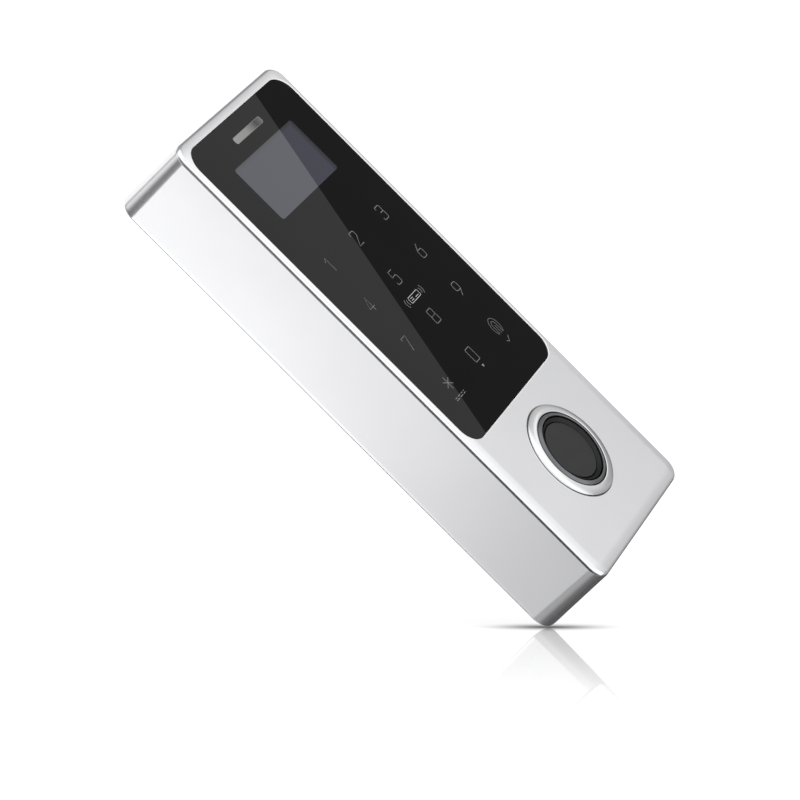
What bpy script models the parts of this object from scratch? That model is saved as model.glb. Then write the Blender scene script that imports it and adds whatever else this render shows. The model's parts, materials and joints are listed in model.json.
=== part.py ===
"""Fingerprint, card and keypad access terminal that hangs on a hooked wall bracket.

Frame: metres, +Z up towards the display end, the front faces -Y and X runs to the right seen from
the front. The origin is the centre of the wall face, where the steel bracket meets the wall.
"""
import math

import bmesh
import bpy
from mathutils import Matrix, Vector

MM = 0.001
GAP = 0.3 * MM                      # clearance between pieces that touch on the real object

# Overall housing
WIDTH = 75.8 * MM
HEIGHT = 185.0 * MM
DEPTH = 29.2 * MM
FRONT = -DEPTH
CORNER_R = 6.5 * MM
CROWN_IN = 4.6 * MM                 # how far the front edge's easing reaches across the face
CROWN_BACK = 1.4 * MM               # and down the side wall
DRAFT = 0.8 * MM                    # how far each outer wall leans out between its front and its rear
WALL = 2.2 * MM
FRONT_WALL = 4.2 * MM
HALF_W = WIDTH / 2
HALF_H = HEIGHT / 2
REAR_RIM = -GAP
INNER_FRONT = FRONT + FRONT_WALL

# Keypad panel and the recess that holds it
PANEL_HALF_W = 35.7 * MM
PANEL_TOP = 89.2 * MM
PANEL_BOTTOM = -36.1 * MM
PANEL_R = 7.0 * MM
PANEL_SUNK = 0.5 * MM
PANEL_THICK = 1.2 * MM
LEDGE_WIDTH = 2.7 * MM
RECESS_DEPTH = 2.7 * MM
PANEL_Z = (PANEL_TOP + PANEL_BOTTOM) / 2
PANEL_HALF_H = (PANEL_TOP - PANEL_BOTTOM) / 2
PANEL_FACE = FRONT + PANEL_SUNK
PANEL_BACK = PANEL_FACE + PANEL_THICK
LEDGE_FACE = FRONT + RECESS_DEPTH
STACK_FACE = PANEL_BACK + GAP       # where everything stuck behind the panel starts

# Display, status bar, touch sheet and card antenna behind the panel
DISPLAY_Z = 64.6 * MM
DISPLAY_HALF_W = 24.5 * MM
DISPLAY_HALF_H = 13.1 * MM
STATUS_Z = 81.75 * MM
TOUCH_TOP = 47.0 * MM
ANTENNA_Z = 8.0 * MM

# Fingerprint reader, turned about an axis along Y
READER_Z = -59.75 * MM
BEZEL_R = 17.0 * MM
BEZEL_PROUD = 1.1 * MM
BEZEL_BORE = 13.86 * MM
BARREL_R = 15.0 * MM
BARREL_BACK = -20.0 * MM
COUNTERBORE = 0.8 * MM
RING_PROUD = 1.5 * MM
RING_INNER = 12.0 * MM
GLASS_R = 10.3 * MM
GLASS_PROUD = 0.4 * MM

# Main board on the rear cover
BOARD_HALF_W = 27.5 * MM
BOARD_TOP = 74.0 * MM
BOARD_BOTTOM = -30.0 * MM
BOARD_BACK = -10.4 * MM
BOARD_THICK = 1.6 * MM
BOARD_FRONT = BOARD_BACK - BOARD_THICK
STANDOFF_X = 23.5 * MM
STANDOFF_Z = (-26.0 * MM, 69.0 * MM)

# Rear cover, a moulding stepped forward at both ends to clear the bracket
COVER_FRONT = -5.0 * MM
COVER_BACK = -2.5 * MM
COVER_SCREW_X = 31.5 * MM
COVER_SCREW_Z = (-73.0 * MM, -4.0 * MM, 70.0 * MM)
BOSS_R = 3.2 * MM

# Wall bracket, hooks and security screw
SHEET = 1.5 * MM
BRACKET_HALF_W = 31.0 * MM
BRACKET_TOP = 82.0 * MM
BRACKET_BOTTOM = -84.5 * MM
HOOK_X = 18.0 * MM
HOOK_TOP = 87.2 * MM
HOOK_BACK = -4.8 * MM
TAB_Z = -86.9 * MM
SCREW_Y = -5.0 * MM
SCREW_R = 1.5 * MM
SCREW_HEAD_R = 2.8 * MM

# Wiring sockets, reached through the bracket's cable hole
CABLE_Z = 25.0 * MM
CABLE_HALF_W = 25.0 * MM
CABLE_HALF_H = 15.0 * MM
HEADERS = (("wiring_header", 0.0, 31.0 * MM, 21.5 * MM), ("network_header", -12.5 * MM, 19.0 * MM, 9.0 * MM))
HEADER_HALF_H = 4.3 * MM
HEADER_BACK = -3.0 * MM

# Tamper switch
TAMPER_X = -15.0 * MM
TAMPER_Z = -17.0 * MM
TAMPER_STEM_R = 1.4 * MM

FINE_STEPS = 48
COARSE_STEPS = 20
CORNER_STEPS = 6

SILVER = ((0.72, 0.73, 0.75), 0.32, 1.0)
STEEL = ((0.55, 0.56, 0.57), 0.38, 1.0)
BRASS = ((0.70, 0.54, 0.25), 0.35, 1.0)
BLACK_GLASS = ((0.012, 0.012, 0.013), 0.08, 0.0)
BLACK_PLASTIC = ((0.02, 0.02, 0.022), 0.5, 0.0)
BOARD_GREEN = ((0.02, 0.12, 0.05), 0.45, 0.0)


# ---------------------------------------------------------------- general modelling helpers

def clear_scene():
    """Remove whatever the scene starts with."""
    for obj in list(bpy.data.objects):
        bpy.data.objects.remove(obj, do_unlink=True)


def finish(obj, look):
    """Give an object its own Principled material from (colour, roughness, metallic)."""
    colour, roughness, metallic = look
    material = bpy.data.materials.new(obj.name + "_finish")
    material.use_nodes = True
    shader = material.node_tree.nodes["Principled BSDF"]
    shader.inputs["Base Color"].default_value = (*colour, 1.0)
    shader.inputs["Roughness"].default_value = roughness
    shader.inputs["Metallic"].default_value = metallic
    material.diffuse_color = (*colour, 1.0)
    obj.data.materials.append(material)


def add_object(name, bm, look=None, location=(0.0, 0.0, 0.0)):
    """Turn a bmesh into a linked object, shaded smooth with its edges kept sharp."""
    bmesh.ops.recalc_face_normals(bm, faces=bm.faces)
    mesh = bpy.data.meshes.new(name)
    bm.to_mesh(mesh)
    bm.free()
    mesh.shade_smooth()
    mesh.set_sharp_from_angle(angle=math.radians(30))
    obj = bpy.data.objects.new(name, mesh)
    obj.location = location
    bpy.context.scene.collection.objects.link(obj)
    if look:
        finish(obj, look)
    return obj


def guide(obj):
    """Mark an object as a modelling guide that isn't part of the product."""
    obj.hide_render = True
    obj.display_type = "WIRE"
    return obj


def boolean(target, tools, operation):
    """Cut, join or intersect the target with one or more guide objects, all in one step."""
    group = bpy.data.collections.new(f"{target.name}_{operation.lower()}")
    bpy.context.scene.collection.children.link(group)
    for tool in tools:
        group.objects.link(guide(tool))
        bpy.context.scene.collection.objects.unlink(tool)
    modifier = target.modifiers.new(group.name, "BOOLEAN")
    modifier.operation = operation
    modifier.solver = "EXACT"
    modifier.operand_type = "COLLECTION"
    modifier.collection = group


def rounded_outline(centre_x, centre_z, half_w, half_h, radius, steps=CORNER_STEPS):
    """Points (x, z) of a rounded rectangle, counter-clockwise seen from the front."""
    corners = ((1, 1, 0), (-1, 1, 90), (-1, -1, 180), (1, -1, 270))
    points = []
    for side_x, side_z, start in corners:
        for step in range(steps + 1):
            angle = math.radians(start + 90 * step / steps)
            x = centre_x + side_x * (half_w - radius) + radius * math.cos(angle)
            z = centre_z + side_z * (half_h - radius) + radius * math.sin(angle)
            points.append((x, z))
    return points


def loft(name, sections, look=None):
    """Close a body through sections (points, y) that all have the same number of points."""
    bm = bmesh.new()
    rings = [[bm.verts.new((x, y, z)) for x, z in points] for points, y in sections]
    for ring, following in zip(rings, rings[1:]):
        for i in range(len(ring)):
            j = (i + 1) % len(ring)
            bm.faces.new((ring[i], ring[j], following[j], following[i]))
    bm.faces.new(rings[0])
    bm.faces.new(rings[-1])
    return add_object(name, bm, look)


def slab(name, outline, y_front, y_back, look=None):
    """Extrude an outline drawn in XZ from one depth to another."""
    bm = bmesh.new()
    face = bm.faces.new([bm.verts.new((x, y_front, z)) for x, z in outline])
    raised = bmesh.ops.extrude_face_region(bm, geom=[face])["geom"]
    moved = [item for item in raised if isinstance(item, bmesh.types.BMVert)]
    bmesh.ops.translate(bm, verts=moved, vec=(0.0, y_back - y_front, 0.0))
    return add_object(name, bm, look)


def block(name, low, high, look=None, bevel=0.0):
    """A box between two corners, with its long edges eased by a Bevel modifier."""
    bm = bmesh.new()
    size = Vector(high) - Vector(low)
    middle = (Vector(high) + Vector(low)) / 2
    bmesh.ops.create_cube(bm, size=1.0, matrix=Matrix.Translation(middle) @ Matrix.Diagonal((*size, 1.0)))
    obj = add_object(name, bm, look)
    if bevel:
        modifier = obj.modifiers.new("eased_edges", "BEVEL")
        modifier.width = bevel
        modifier.segments = 1
    return obj


def turned(name, centre, profile, look=None, steps=FINE_STEPS, axis="Y"):
    """Spin a profile of (radius, height) about an axis through the centre.

    A profile that starts and ends on the axis closes there; any other is a closed ring section.
    """
    bm = bmesh.new()
    points = [bm.verts.new((radius, 0.0, height)) for radius, height in profile]
    edges = [bm.edges.new(pair) for pair in zip(points, points[1:])]
    if profile[0][0] > 0.0:
        edges.append(bm.edges.new((points[-1], points[0])))
    bmesh.ops.spin(bm, geom=points + edges, cent=(0, 0, 0), axis=(0, 0, 1), angle=2 * math.pi, steps=steps)
    bmesh.ops.remove_doubles(bm, verts=bm.verts, dist=0.002 * MM)
    if axis == "Y":
        bmesh.ops.rotate(bm, verts=bm.verts, cent=(0, 0, 0), matrix=Matrix.Rotation(-math.pi / 2, 3, "X"))
    return add_object(name, bm, look, location=centre)


def rod(name, centre, radius, low, high, look=None, steps=COARSE_STEPS, axis="Y"):
    """A plain cylinder between two heights on its axis."""
    profile = [(0.0, low), (radius, low), (radius, high), (0.0, high)]
    return turned(name, centre, profile, look, steps, axis)


def ring(name, centre, inner, outer, low, high, look=None, steps=FINE_STEPS):
    """A plain washer about an axis along Y."""
    profile = [(inner, low), (outer, low), (outer, high), (inner, high)]
    return turned(name, centre, profile, look, steps)


# ---------------------------------------------------------------- front housing

def reader_centre():
    """The point on the wall plane behind the middle of the reader."""
    return (0.0, 0.0, READER_Z)


def cover_screw_points():
    """Places of the rear cover's screws, in rows from the bottom."""
    return [(side * COVER_SCREW_X, z) for z in COVER_SCREW_Z for side in (-1, 1)]


def make_front_housing():
    """The die-cast shell: an open-backed box with the panel recess and the reader's bore."""
    sections = []
    crown_steps = 6
    for step in range(crown_steps + 1):
        angle = math.radians(90 * step / crown_steps)
        inset = CROWN_IN * (1 - math.sin(angle))
        y = FRONT + CROWN_BACK * (1 - math.cos(angle))
        sections.append((rounded_outline(0, 0, HALF_W - inset, HALF_H - inset, CORNER_R - inset), y))
    sections.append((rounded_outline(0, 0, HALF_W + DRAFT, HALF_H + DRAFT, CORNER_R), REAR_RIM))
    housing = loft("front_housing", sections, SILVER)

    past = 2 * MM
    cavity = rounded_outline(0, 0, HALF_W - WALL, HALF_H - WALL, CORNER_R - WALL)
    recess = rounded_outline(0, PANEL_Z, PANEL_HALF_W, PANEL_HALF_H, PANEL_R)
    window = rounded_outline(0, PANEL_Z, PANEL_HALF_W - LEDGE_WIDTH, PANEL_HALF_H - LEDGE_WIDTH,
                             PANEL_R - LEDGE_WIDTH)
    bore = [(0, FRONT - past), (BEZEL_R + GAP, FRONT - past), (BEZEL_R + GAP, FRONT + COUNTERBORE),
            (BARREL_R + GAP, FRONT + COUNTERBORE), (BARREL_R + GAP, INNER_FRONT + past),
            (0, INNER_FRONT + past)]
    hollows = [slab("cavity_cut", cavity, INNER_FRONT, past),
               slab("recess_cut", recess, FRONT - past, LEDGE_FACE),
               slab("window_cut", window, LEDGE_FACE - past, INNER_FRONT + past),
               turned("reader_bore_cut", reader_centre(), bore)]
    boolean(housing, hollows, "DIFFERENCE")

    bosses, pilots = cover_bosses()
    pad, pad_cuts = security_pad()
    boolean(housing, bosses + [hook_rib(), pad], "UNION")
    boolean(housing, pilots + pad_cuts, "DIFFERENCE")
    return housing


def cover_bosses():
    """Screw bosses for the rear cover, each webbed to the side wall beside it, and their holes."""
    boss_front = -20.0 * MM
    boss_back = COVER_FRONT - GAP
    pilot_r = 1.5 * MM
    pilot_depth = 9.0 * MM
    web_half = 1.5 * MM
    into_wall = 0.8 * MM
    bosses = []
    pilots = []
    for number, (x, z) in enumerate(cover_screw_points()):
        centre = (x, 0, z)
        bosses.append(rod(f"boss_{number}", centre, BOSS_R, boss_front, boss_back))
        reach = sorted((x, math.copysign(HALF_W - WALL + into_wall, x)))
        bosses.append(block(f"web_{number}", (reach[0], boss_front + MM, z - web_half),
                            (reach[1], boss_back - MM, z + web_half)))
        pilots.append(rod(f"pilot_{number}", centre, pilot_r, boss_back - pilot_depth, boss_back + MM))
    return bosses, pilots


def hook_rib():
    """The rib under the top wall that the bracket's hooks trap."""
    rib_front = -3.4 * MM
    rib_back = -1.9 * MM
    rib_low = 86.5 * MM
    into_wall = 1.0 * MM
    half_w = 27.0 * MM
    return block("hook_rib", (-half_w, rib_front, rib_low), (half_w, rib_back, HALF_H - WALL + into_wall))


def security_pad():
    """A thickened pad in the bottom wall, and its pocket and slot, both open to the rear."""
    pad_top = -87.5 * MM
    pad = block("security_pad", (-8 * MM, -10 * MM, -HALF_H + MM), (8 * MM, REAR_RIM - 0.2 * MM, pad_top))
    pocket_half = SCREW_HEAD_R + 0.6 * MM
    pocket_top = -90.2 * MM
    pocket_front = SCREW_Y - pocket_half
    pocket = block("pocket_cut", (-pocket_half, pocket_front, -HALF_H - MM), (pocket_half, MM, pocket_top))
    slot_half = SCREW_R + GAP
    slot = block("slot_cut", (-slot_half, SCREW_Y - slot_half, -HALF_H - MM), (slot_half, MM, pad_top + MM))
    return pad, [pocket, slot]


# ---------------------------------------------------------------- keypad panel and what is behind it

def make_panel():
    """The black glass panel and the adhesive frame that seals it to the ledge."""
    outline = rounded_outline(0, PANEL_Z, PANEL_HALF_W - GAP, PANEL_HALF_H - GAP, PANEL_R - GAP)
    slab("keypad_panel", outline, PANEL_FACE, PANEL_BACK, BLACK_GLASS)

    edge = 0.5 * MM
    outer = rounded_outline(0, PANEL_Z, PANEL_HALF_W - edge, PANEL_HALF_H - edge, PANEL_R - edge)
    adhesive = slab("panel_adhesive", outer, STACK_FACE, LEDGE_FACE - GAP, BLACK_PLASTIC)
    inner_edge = LEDGE_WIDTH - GAP
    inner = rounded_outline(0, PANEL_Z, PANEL_HALF_W - inner_edge, PANEL_HALF_H - inner_edge,
                            PANEL_R - inner_edge)
    boolean(adhesive, [slab("adhesive_cut", inner, STACK_FACE - MM, LEDGE_FACE + MM)], "DIFFERENCE")


def make_touch_board():
    """The capacitive touch sheet behind the twelve keys, and the card antenna behind it."""
    half_w = PANEL_HALF_W - LEDGE_WIDTH - 2 * GAP
    bottom = PANEL_BOTTOM + LEDGE_WIDTH + 2 * GAP
    half_h = (TOUCH_TOP - bottom) / 2
    thick = 1.0 * MM
    touch = rounded_outline(0, bottom + half_h, half_w, half_h, PANEL_R - LEDGE_WIDTH)
    slab("touch_board", touch, STACK_FACE, STACK_FACE + thick, BOARD_GREEN)
    antenna_face = -24.4 * MM
    antenna = rounded_outline(0, ANTENNA_Z, 26 * MM, 36 * MM, 3 * MM, 3)
    slab("card_antenna", antenna, antenna_face, antenna_face + 0.8 * MM, BOARD_GREEN)


def make_display():
    """Display glass and backlight inside a moulded holder."""
    glass_thick = 1.2 * MM
    light_thick = 2.5 * MM
    rim = 2.2 * MM
    low_z = DISPLAY_Z - DISPLAY_HALF_H
    high_z = DISPLAY_Z + DISPLAY_HALF_H
    glass_back = STACK_FACE + glass_thick
    block("display_glass", (-DISPLAY_HALF_W, STACK_FACE, low_z), (DISPLAY_HALF_W, glass_back, high_z),
          ((0.10, 0.10, 0.12), 0.12, 0.0))
    light_face = glass_back + GAP
    block("display_backlight", (-DISPLAY_HALF_W, light_face, low_z),
          (DISPLAY_HALF_W, light_face + light_thick, high_z), ((0.8, 0.8, 0.82), 0.4, 0.0))
    inner = (DISPLAY_HALF_W + GAP, DISPLAY_HALF_H + GAP)
    holder_back = -22.0 * MM
    floor = 1.0 * MM
    holder = slab("display_holder",
                  rounded_outline(0, DISPLAY_Z, inner[0] + rim, inner[1] + rim - 0.5 * MM, 1.2 * MM, 3),
                  STACK_FACE, holder_back, BLACK_PLASTIC)
    nest = block("holder_nest_cut", (-inner[0], STACK_FACE - MM, DISPLAY_Z - inner[1]),
                 (inner[0], holder_back - floor, DISPLAY_Z + inner[1]))
    boolean(holder, [nest], "DIFFERENCE")


def make_status_light():
    """The clear bar that carries the status light to the panel, and its small board."""
    pipe_back = -22.0 * MM
    pipe = rounded_outline(0, STATUS_Z, 11.0 * MM, 1.45 * MM, 1.4 * MM, 4)
    slab("status_light_pipe", pipe, STACK_FACE, pipe_back, ((0.6, 0.6, 0.6), 0.25, 0.0))
    board_face = pipe_back + GAP
    block("status_light_board", (-13 * MM, board_face, STATUS_Z - 2.2 * MM),
          (13 * MM, board_face + MM, STATUS_Z + 2.2 * MM), BOARD_GREEN)


# ---------------------------------------------------------------- fingerprint reader

def make_reader():
    """Bezel with its washer and slotted nut, and the sensor module inside the bezel's barrel."""
    centre = reader_centre()
    flange_back = FRONT + COUNTERBORE - GAP
    crown = FRONT - BEZEL_PROUD
    bezel = [(BEZEL_BORE, BARREL_BACK), (BARREL_R, BARREL_BACK), (BARREL_R, flange_back),
             (BEZEL_R, flange_back), (BEZEL_R, FRONT - 0.1 * MM)]
    rounding_steps = 5
    lip = BEZEL_R - BEZEL_BORE - 1.0 * MM
    for step in range(1, rounding_steps + 1):
        angle = math.radians(90 * step / rounding_steps)
        bezel.append((BEZEL_R - lip * (1 - math.cos(angle)),
                      FRONT - 0.1 * MM - (BEZEL_PROUD - 0.1 * MM) * math.sin(angle)))
    bezel.append((BEZEL_BORE + 0.2 * MM, crown))
    bezel.append((BEZEL_BORE, crown + 0.2 * MM))
    turned("reader_bezel", centre, bezel, SILVER)

    washer_face = INNER_FRONT + GAP
    washer_back = washer_face + 0.6 * MM
    ring("reader_washer", centre, BARREL_R + GAP, 18.2 * MM, washer_face, washer_back, BLACK_PLASTIC)
    nut_face = washer_back + GAP
    nut_back = nut_face + 3.0 * MM
    nut = ring("reader_nut", centre, BARREL_R + GAP, 18.6 * MM, nut_face, nut_back, BRASS)
    slots = []
    for number in range(3):
        slot = block(f"nut_slot_{number}", (-20 * MM, nut_back - 1.2 * MM, -1.2 * MM),
                     (20 * MM, nut_back + MM, 1.2 * MM))
        slot.location = centre
        slot.rotation_euler = (0, math.radians(30 + 60 * number), 0)
        slots.append(slot)
    boolean(nut, slots, "DIFFERENCE")


def make_sensor():
    """Everything that sits inside the reader's barrel, from the front ring to the ribbon socket."""
    centre = reader_centre()
    outer = BEZEL_BORE - GAP
    seat = FRONT + 1.0 * MM
    ring_profile = [(RING_INNER, seat), (outer, seat), (outer, FRONT - 1.0 * MM),
                    (RING_INNER + 0.3 * MM, FRONT - RING_PROUD), (RING_INNER, FRONT - RING_PROUD)]
    turned("sensor_ring", centre, ring_profile, ((0.18, 0.185, 0.19), 0.35, 1.0))
    seal_outer = RING_INNER - GAP
    seal_inner = GLASS_R + GAP
    seal_profile = [(seal_inner, seat), (seal_outer, seat), (seal_outer, FRONT - 1.3 * MM),
                    (seal_inner, FRONT - 0.2 * MM)]
    turned("sensor_seal", centre, seal_profile, ((0.03, 0.03, 0.03), 0.55, 0.0))
    rod("sensor_glass", centre, GLASS_R, FRONT - GLASS_PROUD, seat, ((0.045, 0.045, 0.047), 0.28, 0.0),
        FINE_STEPS)
    case_back = -17.5 * MM
    rod("sensor_case", centre, outer, seat + GAP, case_back, BLACK_PLASTIC, 32)
    board_face = case_back + GAP
    board_back = board_face + 1.2 * MM
    rod("sensor_board", centre, outer, board_face, board_back, BOARD_GREEN, 32)
    socket_face = board_back + GAP
    block("sensor_socket", (-6 * MM, socket_face, READER_Z + 6 * MM),
          (6 * MM, socket_face + 2.0 * MM, READER_Z + 10 * MM), ((0.75, 0.72, 0.65), 0.5, 0.0))


def make_reader_ribbon():
    """The flat cable from the sensor's socket up to the main board, bent in an easy arc."""
    half_w = 4.5 * MM
    thick = 0.4 * MM
    start = Vector((-15.2 * MM, READER_Z + 10 * MM + GAP))
    end = Vector((-13.6 * MM, -27.5 * MM))
    bulge = 2.4 * MM
    steps = 14
    centres = []
    for step in range(steps + 1):
        along = step / steps
        y = start.x + (end.x - start.x) * along - bulge * math.sin(math.pi * along) ** 2
        centres.append(Vector((y, start.y + (end.y - start.y) * along)))
    bm = bmesh.new()
    sides = []
    for i, centre in enumerate(centres):
        run = centres[min(i + 1, steps)] - centres[max(i - 1, 0)]
        across = Vector((-run.y, run.x)).normalized() * thick / 2
        corners = [(-half_w, centre + across), (half_w, centre + across),
                   (half_w, centre - across), (-half_w, centre - across)]
        sides.append([bm.verts.new((x, point.x, point.y)) for x, point in corners])
    for first, second in zip(sides, sides[1:]):
        for i in range(4):
            j = (i + 1) % 4
            bm.faces.new((first[i], first[j], second[j], second[i]))
    bm.faces.new(sides[0])
    bm.faces.new(sides[-1])
    add_object("reader_ribbon", bm, ((0.55, 0.30, 0.08), 0.4, 0.0))


# ---------------------------------------------------------------- main board

def make_main_board():
    """The main board with its screws, on standoffs that stand on the rear cover."""
    board = block("main_board", (-BOARD_HALF_W, BOARD_FRONT, BOARD_BOTTOM),
                  (BOARD_HALF_W, BOARD_BACK, BOARD_TOP), BOARD_GREEN)
    holes = []
    number = 0
    for z in STANDOFF_Z:
        for x in (-STANDOFF_X, STANDOFF_X):
            number += 1
            centre = (x, 0, z)
            holes.append(rod(f"board_hole_{number}", centre, 1.6 * MM, BOARD_FRONT - MM, BOARD_BACK + MM))
            post_low = BOARD_BACK + GAP
            post_high = COVER_FRONT - GAP
            post = [(1.5 * MM, post_low), (2.7 * MM, post_low), (2.7 * MM, post_high), (0.0, post_high),
                    (0.0, post_high - 1.0 * MM), (1.5 * MM, post_high - 1.0 * MM)]
            turned_post(f"board_standoff_{number}", centre, post)
            head_front = BOARD_FRONT - GAP - 1.6 * MM
            screw = [(0.0, head_front), (2.4 * MM, head_front + 0.4 * MM), (2.4 * MM, BOARD_FRONT - GAP),
                     (1.2 * MM, BOARD_FRONT - GAP), (1.2 * MM, post_high - 1.4 * MM),
                     (0.0, post_high - 1.4 * MM)]
            turned(f"board_screw_{number}", centre, screw, STEEL, COARSE_STEPS)
    boolean(board, holes, "DIFFERENCE")


def turned_post(name, centre, profile):
    """A hexagonal brass post with a blind hole, its profile starting at the hole's mouth."""
    hole_bottom = profile[4:]
    walls = profile[:4]
    path = [hole_bottom[0], hole_bottom[1], *walls]
    return turned(name, centre, path, BRASS, 6)


def on_board(name, centre_x, centre_z, half_w, half_h, height, look, bevel=0.0):
    """A component that stands on the main board's front side."""
    seat = BOARD_FRONT - GAP
    return block(name, (centre_x - half_w, seat - height, centre_z - half_h),
                 (centre_x + half_w, seat, centre_z + half_h), look, bevel)


def make_components():
    """Relay, buzzer, clock battery, shielded processor and ribbon socket on the board's front."""
    seat = BOARD_FRONT - GAP
    on_board("processor_shield", 6 * MM, 48 * MM, 14 * MM, 13 * MM, 2.2 * MM, STEEL, 0.3 * MM)
    on_board("lock_relay", 15 * MM, -8 * MM, 9.5 * MM, 7.7 * MM, 9.6 * MM, ((0.02, 0.05, 0.16), 0.4, 0.0),
             0.5 * MM)
    on_board("ribbon_socket", 0.0, -25 * MM, 6 * MM, 2 * MM, 2.0 * MM, ((0.75, 0.72, 0.65), 0.5, 0.0))
    buzzer_height = 7.0 * MM
    rod("buzzer", (-15 * MM, 0, -10 * MM), 6.0 * MM, seat - buzzer_height, seat, BLACK_PLASTIC, 32)
    battery_height = 2.6 * MM
    rod("clock_battery", (-17 * MM, 0, 57 * MM), 6.3 * MM, seat - battery_height, seat, STEEL, 32)


def make_headers():
    """Shrouded sockets on the board's rear side, open to the rear for the installer's plugs."""
    shroud = 1.0 * MM
    floor = 1.2 * MM
    seat = BOARD_BACK + GAP
    for name, x, z, half_w in HEADERS:
        low = (x - half_w, seat, z - HEADER_HALF_H)
        high = (x + half_w, HEADER_BACK, z + HEADER_HALF_H)
        header = block(name, low, high, ((0.03, 0.16, 0.06), 0.45, 0.0))
        well = block(name + "_well_cut", (x - half_w + shroud, seat + floor, z - HEADER_HALF_H + shroud),
                     (x + half_w - shroud, HEADER_BACK + MM, z + HEADER_HALF_H - shroud))
        boolean(header, [well], "DIFFERENCE")


def make_tamper_switch():
    """The switch on the board and its plunger, which reaches through the cover to the bracket."""
    seat = BOARD_BACK + GAP
    body_back = -6.1 * MM
    bore_bottom = -9.0 * MM
    half = 3.4 * MM
    body = block("tamper_switch", (TAMPER_X - half, seat, TAMPER_Z - half),
                 (TAMPER_X + half, body_back, TAMPER_Z + half), BLACK_PLASTIC)
    axis_point = (TAMPER_X, 0, TAMPER_Z)
    bore = rod("tamper_bore_cut", axis_point, TAMPER_STEM_R + GAP, bore_bottom, body_back + MM)
    boolean(body, [bore], "DIFFERENCE")
    tip = -SHEET - GAP
    stem_end = -7.4 * MM
    ease = 0.3 * MM
    stem = [(0.0, stem_end), (TAMPER_STEM_R, stem_end), (TAMPER_STEM_R, tip - ease),
            (TAMPER_STEM_R - ease, tip), (0.0, tip)]
    turned("tamper_plunger", axis_point, stem, ((0.45, 0.04, 0.03), 0.45, 0.0), COARSE_STEPS)


# ---------------------------------------------------------------- rear cover

def make_rear_cover():
    """The moulded cover: a plate with stepped ends, shaped to the housing's inside."""
    hook_step = 79.0 * MM
    tab_step = -80.0 * MM
    wall = 2.0 * MM
    hook_shelf = -7.5 * MM
    tab_shelf = -10.5 * MM
    end = HALF_H + MM
    side_view = [(COVER_BACK, hook_step), (hook_shelf, hook_step), (hook_shelf, end),
                 (hook_shelf - wall, end), (hook_shelf - wall, hook_step - wall),
                 (COVER_FRONT, hook_step - wall), (COVER_FRONT, tab_step + wall),
                 (tab_shelf - wall, tab_step + wall), (tab_shelf - wall, -end), (tab_shelf, -end),
                 (tab_shelf, tab_step), (COVER_BACK, tab_step)]
    bm = bmesh.new()
    face = bm.faces.new([bm.verts.new((-HALF_W, y, z)) for y, z in side_view])
    raised = bmesh.ops.extrude_face_region(bm, geom=[face])["geom"]
    moved = [item for item in raised if isinstance(item, bmesh.types.BMVert)]
    bmesh.ops.translate(bm, verts=moved, vec=(WIDTH, 0.0, 0.0))
    cover = add_object("rear_cover", bm, BLACK_PLASTIC)
    edge = WALL + GAP
    limit = rounded_outline(0, 0, HALF_W - edge, HALF_H - edge, CORNER_R - edge)
    boolean(cover, [slab("cover_limit", limit, FRONT, MM)], "INTERSECT")

    past = 1.0 * MM
    around = 0.4 * MM
    tamper_axis = (TAMPER_X, 0, TAMPER_Z)
    openings = [rod("tamper_hole_cut", tamper_axis, 2.2 * MM, COVER_FRONT - past, COVER_BACK + past)]
    for name, x, z, half_w in HEADERS:
        low = (x - half_w - around, COVER_FRONT - past, z - HEADER_HALF_H - around)
        high = (x + half_w + around, COVER_BACK + past, z + HEADER_HALF_H + around)
        openings.append(block(name + "_opening_cut", low, high))
    boolean(cover, openings + make_cover_screws(), "DIFFERENCE")


def make_cover_screws():
    """Screws that hold the cover to the housing's bosses, and the counterbores they sink into."""
    shank_r = 1.2 * MM
    hole_r = 1.5 * MM
    head_r = 2.6 * MM
    sink = 1.4 * MM
    tip = -12.0 * MM
    holes = []
    for number, (x, z) in enumerate(cover_screw_points(), start=1):
        centre = (x, 0, z)
        head_seat = COVER_BACK - sink
        hole = [(0.0, COVER_FRONT - MM), (hole_r, COVER_FRONT - MM), (hole_r, head_seat),
                (head_r + GAP, head_seat), (head_r + GAP, COVER_BACK + MM), (0.0, COVER_BACK + MM)]
        holes.append(turned(f"cover_hole_{number}", centre, hole, None, COARSE_STEPS))
        head_low = head_seat + GAP
        head_high = COVER_BACK - 0.1 * MM
        screw = [(0.0, tip), (shank_r, tip + MM), (shank_r, head_low), (head_r, head_low),
                 (head_r, head_high - 0.3 * MM), (head_r - 0.4 * MM, head_high), (0.0, head_high)]
        turned(f"cover_screw_{number}", centre, screw, STEEL, COARSE_STEPS)
    return holes


# ---------------------------------------------------------------- wall bracket

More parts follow.
